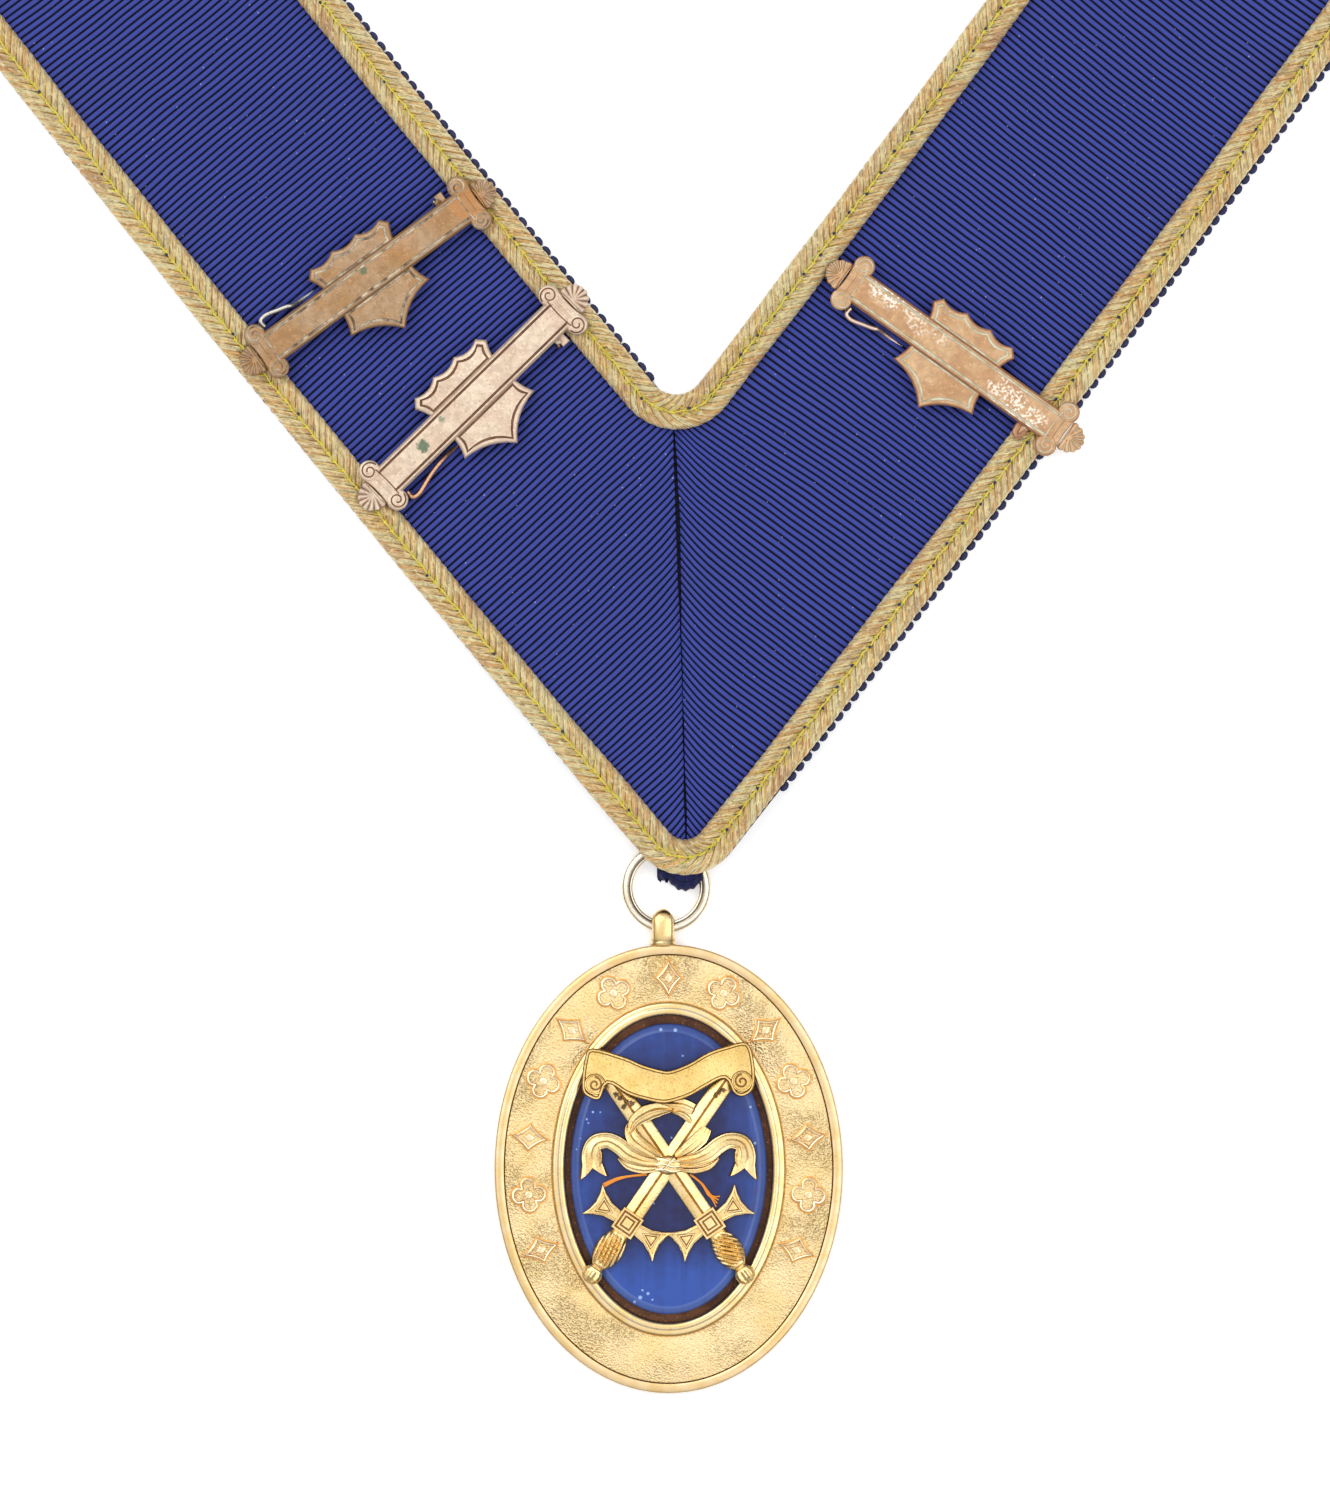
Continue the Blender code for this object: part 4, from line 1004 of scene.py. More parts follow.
@dataclass
class BackingRibbon:
    """The navy ribbon at the back, whose picot edge shows beside the laces."""

    lay: CollarLay
    thickness: float = 1.0 * MM
    edge: float = -0.35 * MM
    shift: float = 0.65 * MM
    tip_radius: float = 9.7 * MM
    row_step: float = 1.125 * MM
    picot_pitch: float = 2.27 * MM
    picot_length: float = 2.0 * MM
    picot_width: float = 1.45 * MM
    picot_height: float = 0.95 * MM
    picot_place: float = -0.12 * MM
    picot_start: float = 27 * MM

    def dress(self, silk: Finish, cord: Finish) -> Piece:
        """Builds the ribbon with its picots.

        Args:
            silk: The ribbon's finish.
            cord: The picots' finish.

        Returns:
            The piece.
        """
        shape = Shape()
        half = self.lay.width / 2 + self.edge
        along, inner, outer = RibbonHalf(self.lay, half, self.tip_radius).rows(self.row_step)
        share = np.array([0, 0, 0.35, 0.7, 1, 1, 0.7, 0.35])
        levels = np.array([0, 1, 1, 1, 1, 0, 0, 0]) * self.thickness
        across = inner[:, None] + (outer - inner)[:, None] * share
        flat = self.lay.point(along[:, None], across)
        rings = raised(flat, levels)
        flats = together(along[:, None], across)
        for mirror in (False, True):
            placed = self.slide(self.lay.set_down(rings, mirror))
            ordered = placed if mirror else placed[:, ::-1]
            shape.add_loft(ordered, flats if mirror else flats[:, ::-1])
        for edge, first in ((1, self.picot_start), (-1, self.lay.seam_start(-half) + 9 * MM)):
            start = self.lay.seam_start(edge * half) + first if edge > 0 else first
            reach = edge * (self.lay.width / 2 + self.picot_place)
            for mirror in (False, True):
                self.add_picots(shape, start, reach, mirror)
        piece = shape.build("picot_backing", [silk, cord], 60)
        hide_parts("backing_ribbon")
        return piece

    def slide(self, points: np.ndarray) -> np.ndarray:
        """Moves points by the little that the backing is sewn on to one side.

        Args:
            points: Rows of x, y and z.

        Returns:
            The moved rows.
        """
        moved = points.copy()
        moved[..., 0] += self.shift
        return moved

    def add_picots(self, shape: Shape, start: float, reach: float, mirror: bool) -> None:
        """Adds the row of small thread loops along one edge.

        Args:
            shape: The shape that gets them.
            start: Where along the middle line they start.
            reach: How far from the middle line their middles are.
            mirror: Whether they are on the left-hand limb.
        """
        end = self.lay.half_length
        along = start
        while along < end:
            scale = 1 + reach / self.lay.neck_radius if along > self.lay.limb_length else 1.0
            spot = self.lay.point(np.array([along]), np.array([reach]))[0]
            heading = float(self.lay.heading(np.array([along]))[0])
            turns = np.linspace(0, math.pi, 6)
            rings = []
            for turn in turns:
                size = max(math.sin(turn), 0.05)
                x = -math.cos(turn) * self.picot_length / 2
                for k in range(7):
                    angle = math.tau * k / 7
                    side = size * math.cos(angle) * self.picot_width / 2
                    up = self.picot_height / 2 + size * math.sin(angle) * self.picot_height / 2
                    east = spot[0] + x * math.sin(heading) + side * math.cos(heading)
                    north = spot[1] + x * math.cos(heading) - side * math.sin(heading)
                    rings.append((east, north, up))
            placed = self.slide(self.lay.set_down(np.array(rings).reshape(6, 7, 3), mirror))
            shape.add_loft(placed if mirror else placed[:, ::-1], slots=1)
            along += self.picot_pitch / scale


@dataclass
class Lace:
    """One band of metal lace: two rounded lobes of slanting thread, sewn down along the groove."""

    lay: CollarLay
    name: str
    outward: float
    corner_radius: float
    apex: int
    base: float = 2.8 * MM
    width: float = 6.3 * MM
    thickness: float = 1.9 * MM
    slope: float = 1.15
    bundle: float = 1.7 * MM
    bundle_steps: int = 5
    bundle_depth: float = 0.34 * MM
    knot_pitch: float = 4.6 * MM
    stitch_pitch: float = 2.0 * MM
    frayed: float = 26 * MM
    profile: tuple[Point, ...] = (
        (-1, 0), (-1.0, 0.42), (-0.88, 0.74), (-0.66, 0.95), (-0.42, 1.0), (-0.2, 0.84), (-0.06, 0.58),
        (0.06, 0.58), (0.2, 0.84), (0.42, 1.0), (0.66, 0.95), (0.88, 0.74), (1.0, 0.42), (1, 0),
    )

    def start(self) -> tuple[float, float]:
        """Where the corner's arc meets the limb.

        Returns:
            The place along the limb, and half the arc's length.
        """
        start = self.lay.seam_start(self.outward - self.corner_radius)
        heading = float(self.lay.heading(np.asarray(start)))
        return start, self.corner_radius * (math.pi / 2 - heading)

    def length(self) -> float:
        """Half the lace's length."""
        start, arc = self.start()
        return arc + self.lay.half_length - start

    def point(self, run: np.ndarray, across: np.ndarray) -> np.ndarray:
        """Points of the lace, laid flat.

        Args:
            run: Lengths from the middle of the front, less than zero on the left.
            across: Places outward from the lace's own middle line.

        Returns:
            Rows of x and y, the tip's corner being zero.
        """
        run, across = np.broadcast_arrays(np.asarray(run, float), np.asarray(across, float))
        total = self.length()
        run = (run + total) % (2 * total) - total
        start, arc = self.start()
        distance = np.abs(run)
        centre = self.lay.point(start, self.outward - self.corner_radius)
        turned = distance / self.corner_radius
        reach = self.corner_radius + across
        x = reach * np.sin(turned)
        y = centre[1] - reach * np.cos(turned)
        limb = self.lay.point(start + np.maximum(distance - arc, 0), self.outward + across)
        bend = distance < arc
        x = np.where(bend, x, limb[..., 0])
        y = np.where(bend, y, limb[..., 1])
        return together(np.where(run < 0, -x, x), y)

    def dress(self, metal: Finish) -> Piece:
        """Builds the lace.

        Args:
            metal: Its finish.

        Returns:
            The piece.
        """
        total = self.length()
        bundles = round(2 * total / self.bundle)
        rows = bundles * self.bundle_steps
        run = -total + 2 * total * np.arange(rows) / rows
        profile = np.array(self.profile)
        half = self.width / 2
        swell = np.abs(np.sin(math.pi * np.arange(rows) / self.bundle_steps))[:, None]
        jitter = ripple(run[:, None], np.zeros((rows, 1)), 9 * MM, 2.0 + self.apex)
        across = profile[:, 0] * half * (1 + 0.035 * (swell - 0.5) + 0.03 * jitter)
        lag = self.apex * self.slope * np.abs(profile[:, 0]) * half
        flat = self.point(run[:, None] - lag, across)
        crown = np.clip(profile[:, 1] * 1.5 - 0.3, 0, 1)
        height = self.base + profile[:, 1] * self.thickness - (1 - swell) * crown * self.bundle_depth
        rings = self.lay.set_down(raised(flat, height))
        even = np.arange(rows + 1) * self.bundle / self.bundle_steps
        flats = together(even[:, None], np.concatenate([across, across[:1]]))
        shape = Shape()
        shape.add_loft(rings[:, ::-1], flats[:, ::-1], closed=True)
        piece = shape.build("woven_" + self.name, [metal], 75)
        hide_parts(self.name)
        return piece

    def add_sewing(self, stitches: Shape, knots: Shape) -> None:
        """Adds the stitches and the small dark knots in the lace's groove.

        Args:
            stitches: The shape that gets the yellow stitches.
            knots: The shape that gets the dark knots.
        """
        total = self.length()
        count = round(2 * total / self.stitch_pitch)
        up = self.base + self.thickness * 0.66
        for k in range(count):
            run = -total + 2 * total * (k + 0.5) / count
            sway = 0.16 * MM * math.sin(k * 2.3)
            ends = np.array([-0.55, -0.2, 0.2, 0.55]) * self.stitch_pitch
            flat = self.point(run + ends, np.array([-sway, sway, sway, -sway]))
            path = raised(flat, up + np.array([-0.14, 0.1, 0.1, -0.14]) * MM)
            stitches.add_wire(self.lay.set_down(path), np.array([0.1, 0.17, 0.17, 0.1]) * MM, 5)
            for side in (-1, 1):
                reach = 0.8 + 0.3 * math.sin(k * 5.1 + side)
                out = np.array([0.0, 0.55 * reach, reach]) * MM
                flat = self.point(run - self.apex * out * self.slope, side * out)
                path = raised(flat, up + np.array([0.0, 0.22, 0.36]) * MM)
                stitches.add_wire(self.lay.set_down(path), np.array([0.15, 0.13, 0.06]) * MM, 4)
                if abs(run) < self.frayed and (k + side) % 3:
                    across = side * (0.9 + 0.8 * math.sin(k * 2.7)) * MM
                    across = across + np.array([0.3, 0.0, -0.4]) * side * MM
                    flat = self.point(run + np.array([-0.9, 0.0, 0.8]) * MM, across)
                    path = raised(flat, up + np.array([0.3, 0.62, 0.35]) * MM)
                    stitches.add_wire(self.lay.set_down(path), 0.09 * MM, 4)
                if run > 0 or k % 4 == 0:
                    place = run - self.apex * 0.5 * MM
                    self.add_knot(knots, place, side * 0.42 * MM, up + 0.2 * MM, 0.13 * MM)
        count = round(2 * total / self.knot_pitch)
        for k in range(count):
            run = -total + 2 * total * k / count
            if run > 0 or k % 4 == 0:
                self.add_knot(knots, run, 0.3 * MM * math.sin(k * 1.9), up + 0.26 * MM, 0.27 * MM)

    def add_knot(self, knots: Shape, run: float, across: float, up: float, size: float) -> None:
        """Adds one small dark knot.

        Args:
            knots: The shape that gets it.
            run: Where it is along the lace.
            across: How far it is from the lace's middle line.
            up: Its height above the surface.
            size: Half its thickness.
        """
        ends = np.array([-1.1, -0.45, 0.45, 1.1]) * size
        flat = self.point(run + ends, across)
        path = self.lay.set_down(raised(flat, up))
        knots.add_wire(path, np.array([0.35, 1.0, 1.0, 0.35]) * size, 5)


# Bars


class BarTone(Enum):
    """The three bars' metals: face, warm patches, the grooves' two tones, and the edges."""

    TAN = ((168, 141, 112), (158, 121, 82), (206, 194, 170), (92, 68, 48), (150, 122, 96))
    PALE = ((215, 197, 175), (202, 177, 155), (124, 82, 52), (96, 62, 40), (206, 186, 164))
    COPPER = ((195, 162, 124), (178, 136, 98), (204, 204, 182), (176, 160, 132), (170, 118, 92))


@dataclass
class PinnedBar:
    """A stamped bar with crest, shield, scrolled ends and shells, held on by a wire pin."""

    lay: CollarLay
    name: str
    side: Side
    along: float
    outward: float
    turn: float
    pin_side: int
    lug_place: float
    tone: BarTone
    nudge: tuple[float, float, float] = (0.0, -0.6, 0.0)
    dive: float = 0.3
    curl: float = 0.5
    base: float = 5.0 * MM
    length: float = 57.0 * MM
    body_width: float = 5.9 * MM
    crest_height: float = 7.4 * MM
    shield_depth: float = 11.1 * MM
    scroll_radius: float = 1.95 * MM
    shell_radius: float = 2.8 * MM
    pin_wire: float = 0.9 * MM
    body_levels: tuple[Point, ...] = (
        (-0.14, 0), (-0.14, 0.7), (0, 0.98), (0.28, 1.2), (0.54, 1.2), (0.62, 0.98), (0.92, 0.96),
        (1.0, 1.16), (1.3, 1.18),
    )
    plate_levels: tuple[Point, ...] = (
        (-0.28, 0), (-0.28, 0.36), (-0.1, 0.66), (0.16, 0.8), (0.62, 0.8), (0.7, 0.6), (1.02, 0.58),
        (1.1, 0.74), (1.32, 0.75),
    )

    def matrix(self) -> Matrix:
        """Where the bar lies, its own x along it and y towards the neck.

        Returns:
            The move from the bar's own place.
        """
        spot = self.lay.point(np.array([self.along]), np.array([self.outward]))[0]
        local = np.array([[spot[0], spot[1], self.base]])
        place = self.lay.set_down(local, self.side is Side.LEFT)[0]
        heading = float(self.lay.heading(np.array([self.along]))[0])
        place = place + np.array(self.nudge) * MM
        angle = -self.side.value * heading + math.radians(self.turn) + self.lay.tilt
        flat = float(self.lay.lift_at(np.array([spot[1]]))[0])
        return Matrix.Translation((place[0], place[1], place[2] - flat)) @ Matrix.Rotation(angle, 4, "Z")

    def dress(self, finishes: list[Finish]) -> Piece:
        """Builds the bar.

        Args:
            finishes: Those of the face, the engraved lines and the edges.

        Returns:
            The piece.
        """
        shape = Shape()
        slots = [2, 2, 2, 0, 1, 1, 1, 0, 0]
        shape.add_prism(self.body(), in_mm(self.body_levels), slots)
        for outline in (self.crest(), self.shield()):
            shape.add_prism(outline, in_mm(self.plate_levels), slots)
        for end in (-1, 1):
            self.add_end(shape, end)
        self.add_lug(shape)
        shape.move(self.matrix())
        piece = shape.build("stamped_bar_" + self.name, finishes, 35)
        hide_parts("bar_" + self.name)
        return piece

    def body(self) -> Panel:
        """The long body's outline."""
        x, y = self.length / 2 - self.shell_radius * 2, self.body_width / 2
        return Panel([(-x, -y), (x, -y), (x, y), (-x, y)], [0.0] * 4)

    def crest(self) -> Panel:
        """The crest's outline: three scallops between its corners.

        Returns:
            The outline.
        """
        half, width, high = self.length / 2, self.body_width, self.crest_height
        foot = 0.26 * half
        tops = [(0.303 * half, 0.77 * high), (0.261 * half, 0.95 * high), (0.09 * half, high)]
        tops += [(-x, y) for x, y in reversed(tops)]
        corners = [(-foot, width * 0.4), (foot, width * 0.4), *tops]
        dips = [0.0, 0.03 * high, 0.0, 0.11 * high, 0.11 * high, 0.11 * high, 0.0, 0.03 * high]
        return Panel(corners, dips)

    def shield(self) -> Panel:
        """The shield's outline: short sides, two long hollow ones and a point.

        Returns:
            The outline.
        """
        half, width, deep = self.length / 2, self.body_width, self.shield_depth
        foot = 0.26 * half
        tip, point = (-0.297 * half, -0.6 * deep), (0.0, -deep)
        corners = [(foot, -width * 0.4), (-foot, -width * 0.4), tip, point, (-tip[0], tip[1])]
        return Panel(corners, [0.0, deep * 0.03, deep * 0.1, deep * 0.1, deep * 0.03])

    def add_end(self, shape: Shape, end: int) -> None:
        """Adds the scrolls, the band between them and the shell at one end.

        Args:
            shape: The shape that gets them.
            end: The end's side.
        """
        x = end * (self.length / 2 - self.shell_radius * 2 - self.scroll_radius * 0.2)
        y = self.body_width * 0.61
        radius = self.scroll_radius
        disc = in_mm([(0, 0), (0, 0.92), (0.16, 1.1), (0.4, 1.16)])
        for up in (-1, 1):
            shape.add_prism(circle(radius, 24, (x, up * y)), disc)
            turns = np.linspace(0, 1, 30)
            reach = radius * (0.82 - 0.62 * turns)
            angle = up * end * (-turns * 1.45 * math.tau) + (math.pi if end > 0 else 0)
            path = together(x + reach * np.cos(angle), up * y + reach * np.sin(angle), 1.14 * MM)
            shape.add_wire(path, 0.15 * MM, 6, slot=1)
        inner, outer = x - end * radius * 0.45, x + end * radius
        band = bowed_edge((outer, -y * end), (outer, y * end), 0.45 * MM, 8)
        band += bowed_edge((inner, y * end), (inner, -y * end), -0.3 * MM, 8)
        shape.add_prism(band, in_mm([(0, 0), (0, 0.9), (0.15, 1.08), (0.5, 1.1)]))
        line = np.linspace(-0.84, 0.84, 14)
        path = together(inner - end * 0.25 * MM * (1 - line**2), line * y, 1.1 * MM)
        shape.add_wire(path, 0.16 * MM, 6, slot=1)
        self.add_shell(shape, end)

    def add_shell(self, shape: Shape, end: int) -> None:
        """Adds one fluted shell.

        Args:
            shape: The shape that gets it.
            end: The end's side.
        """
        flutes, spread = 8, math.radians(200)
        turns = np.linspace(-spread / 2, spread / 2, 64)
        wave = np.abs(np.sin(turns / spread * math.pi * flutes))
        reach = self.shell_radius * (0.92 + 0.1 * wave)
        hub = end * (self.length / 2 - self.shell_radius) - end * 0.9 * MM
        levels = ((1.0, 0, 0), (1.0, 0.5, 0.5), (0.93, 0.62, 0.84), (0.45, 0.62, 0.9), (0.2, 0.8, 0.84))
        rings = []
        for share, low, high in levels:
            x = hub + (reach * share + 0.4 * MM) * end * np.cos(turns)
            rings.append(together(x, reach * share * np.sin(turns), (low + (high - low) * wave) * MM))
        stack = np.array(rings)
        shape.add_loft(stack if end > 0 else stack[:, ::-1])
        for k in range(1, flutes):
            angle = -spread / 2 + spread * k / flutes
            ray = self.shell_radius * np.linspace(0.3, 0.93, 5)
            path = together(hub + (ray + 0.4 * MM) * end * math.cos(angle), ray * math.sin(angle), 0.62 * MM)
            shape.add_wire(path, np.array([0.05, 0.09, 0.11, 0.13, 0.1]) * MM, 5, slot=1)

    def pin_points(self) -> np.ndarray:
        """The pin's way: hinge, down through the ribbon, and up to its hook.

        Returns:
            Rows of x, y and z in the bar's own place.
        """
        low, high = -3.85 * MM, -0.95 * MM
        half, width = self.length / 2, self.body_width
        lug = self.lug_place
        route = [(lug, 0.67, 1), (lug - 0.005, 0.67, 1), (lug - 0.01, 0.67, 0), (lug - 0.03, 0.67, 0)]
        route += [(-self.dive, 0.67, 0), (-self.dive - 0.1, 0.67, 1), (-0.51, 0.74, 1), (-0.58, 0.82, 1)]
        route += [(-0.635, 0.9, 1), (-0.671, 0.93, 1), (-0.705, 0.9, 1), (-0.716, 0.82, 1), (-0.71, 0.64, 1)]
        return np.array([(x * half, self.pin_side * y * width, high if up else low) for x, y, up in route])

    def add_lug(self, shape: Shape) -> None:
        """Adds the hinge lug and the catch under the bar.

        Args:
            shape: The shape that gets them.
        """
        path = self.pin_points()
        size, wall = 1.6 * MM, 0.35 * MM
        lug_far = path[0][1] + self.pin_side * (self.pin_wire / 2 + wall)
        catch_far = path[-1][1] - self.pin_side * (self.pin_wire / 2 + GAP)
        for middle, far in ((path[0][0] + GAP + size / 2, lug_far), (path[-1][0], catch_far)):
            low, high = sorted((self.pin_side * self.body_width / 4, far))
            left, right = middle - size / 2, middle + size / 2
            box = [(left, low), (right, low), (right, high), (left, high)]
            shape.add_prism(box, in_mm([(0, -1.9), (0, -0.2), (0.1, -0.1)]))
        x = np.array([0.3, 0.1, 0.25, 0.9, 1.5, 1.7]) * self.curl
        y = 0.42 + (np.array([0.42, 0.62, 0.82, 0.9, 0.8, 0.6]) - 0.42) * self.curl
        z = np.array([-0.5, -0.1, 0.15, 0.2, 0.0, -0.3])
        line = together(x, y * (self.pin_side * self.body_width / MM), z) * MM
        line[:, 0] += path[0][0]
        size = 0.3 + 0.3 * self.curl
        shape.add_wire(line, np.array([1.0, 1.0, 1.0, 0.9, 0.8, 0.6]) * size * MM, 8, slot=2)

    def dress_pin(self, wire: Finish) -> Piece:
        """Builds the pin.

        Args:
            wire: Its finish.

        Returns:
            The piece.
        """
        points = [tuple(point) for point in self.pin_points()]
        curve = []
        for first in range(len(points) - 1):
            start, end = np.array(points[first]), np.array(points[first + 1])
            for step in range(4):
                curve.append(start + (end - start) * step / 4)
        curve.append(np.array(points[-1]))
        path = np.array(curve)
        for _ in range(4):
            path[1:-1] = (path[:-2] + 2 * path[1:-1] + path[2:]) / 4
        shape = Shape()
        shape.add_wire(path, self.pin_wire / 2, 10)
        shape.move(self.matrix())
        piece = shape.build("wire_pin_" + self.name, [wire], 60)
        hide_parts("pin_" + self.name)
        return piece


# Ring and tab


@dataclass
class HangingRing:
    """The round ring that the jewel's loop hangs on."""

    outer: float = 16.2 * MM
    wire: float = 2.1 * MM
    section: tuple[Point, ...] = (
        (1.0, -0.2), (1.0, 0.25), (0.8, 0.66), (0.42, 0.93), (0, 0.98), (-0.4, 0.82), (-0.52, 0.58),
        (-0.62, 0.6),
        (-0.9, 0.4), (-1.0, 0), (-0.9, -0.5), (-0.5, -0.9), (0, -1.0), (0.5, -0.87), (0.87, -0.5),
    )

    def dress(self, metal: Finish, line: Finish) -> Piece:
        """Builds the ring.

        Args:
            metal: Its finish.
            line: The finish of the fine step round its inside, spread over the slope above it as painted
                shade.

        Returns:
            The piece.
        """
        low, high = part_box("hanging_ring")
        centre = (low + high) / 2
        middle = (self.outer - self.wire) / 2
        half = self.wire / 2
        table = np.array(self.section) * half
        turns = (np.arange(96) * math.tau / 96)[:, None]
        reach = middle + table[:, 0]
        x, y = centre.x + np.cos(turns) * reach, centre.y + np.sin(turns) * reach
        rings = together(x, y, centre.z + table[:, 1])
        shape = Shape()
        # The step and the slope above it take the darker finish: painted shade on the inner slope.
        columns = np.array([[1 if k in (4, 5, 6) else 0 for k in range(len(table))]])
        shape.add_loft(rings, closed=True, slots=columns)
        piece = shape.build("split_ring", [metal, line], 50)
        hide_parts("hanging_ring")
        return piece


@dataclass
class RingTab:
    """The short strap of bunched ribbon, folded round the ring under the collar's tip."""

    width: float = 10.4 * MM
    thickness: float = 0.8 * MM
    gathers: int = 6
    steps: int = 26
    columns: int = 56
    shift: float = 0.7 * MM
    hem: tuple[Point, ...] = (
        (-1.0, 3.5), (-0.96, 2.6), (-0.84, 2.05), (-0.66, 1.95), (-0.5, 2.0), (-0.42, 1.5), (-0.3, 0.8),
        (-0.12, 0.3), (0.15, 0.0), (0.4, 0.12), (0.62, 0.5), (0.8, 1.1), (0.93, 1.9), (1.0, 3.0),
    )

    def dress(self, silk: Finish) -> Piece:
        """Builds the tab.

        Args:
            silk: Its finish.

        Returns:
            The piece.
        """
        low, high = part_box("ring_tab")
        outer = high.z / 2
        middle_x = (low.x + high.x) / 2 + self.shift
        fold_y = low.y + outer
        length = high.y - fold_y
        path = [(length * (1 - k / 10), outer) for k in range(10)]
        turns = np.linspace(math.pi / 2, 1.5 * math.pi, self.steps)
        path += [(outer * math.cos(turn), outer * math.sin(turn)) for turn in turns]
        path += [(length * (k + 1) / 10, -outer) for k in range(10)]
        share = np.linspace(-1, 1, self.columns)
        spots, drops = np.array(self.hem).T
        droop = (np.interp(share, spots, drops) - 0.4) * MM + 0.04 * MM * np.cos(share * 21)
        rows = []
        for k, (y, z) in enumerate(path):
            toward = math.atan2(z, min(y, 0.0) - 0.001 * MM)
            narrow = 0.8 + 0.2 * min(max(y / length, 0.0), 1.0)
            fold = 0.2 * MM * np.cos(share * math.pi * self.gathers + k * 0.06)
            depth = outer - 0.24 * MM + fold
            if y >= 0:
                out = fold_y + y + droop * (1 - y / length)
                up = outer + math.copysign(1, z) * depth
            else:
                out = fold_y - depth * abs(math.cos(toward)) * 0.86 + droop
                up = outer + depth * math.sin(math.atan2(z, -y))
            rows.append(together(middle_x + share * self.width / 2 * narrow, out, up))
        outside = np.array(rows)
        centre = np.array([0.0, fold_y, outer])
        inward = outside.copy()
        direction = inward - centre
        direction[..., 0] = 0
        reach = np.linalg.norm(direction, axis=-1, keepdims=True)
        flat_rows = np.array([y >= 0 for y, _ in path])
        pull = direction / np.maximum(reach, 1e-6) * self.thickness
        pull[flat_rows] = np.array([0, 0, 1.0]) * np.sign(direction[flat_rows][..., 2:]) * self.thickness
        inward = inward - pull
        rings = np.concatenate([outside, inward[:, ::-1]], axis=1)
        run = np.arange(len(path)) * 0.55 * MM
        flats = together(run[:, None], share * self.width / 2)
        flats = np.concatenate([flats, flats[:, ::-1]], axis=1)
        shape = Shape()
        shape.add_loft(rings, flats)
        piece = shape.build("gathered_tab", [silk], 60)
        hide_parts("ring_tab")
        return piece


# Jewel


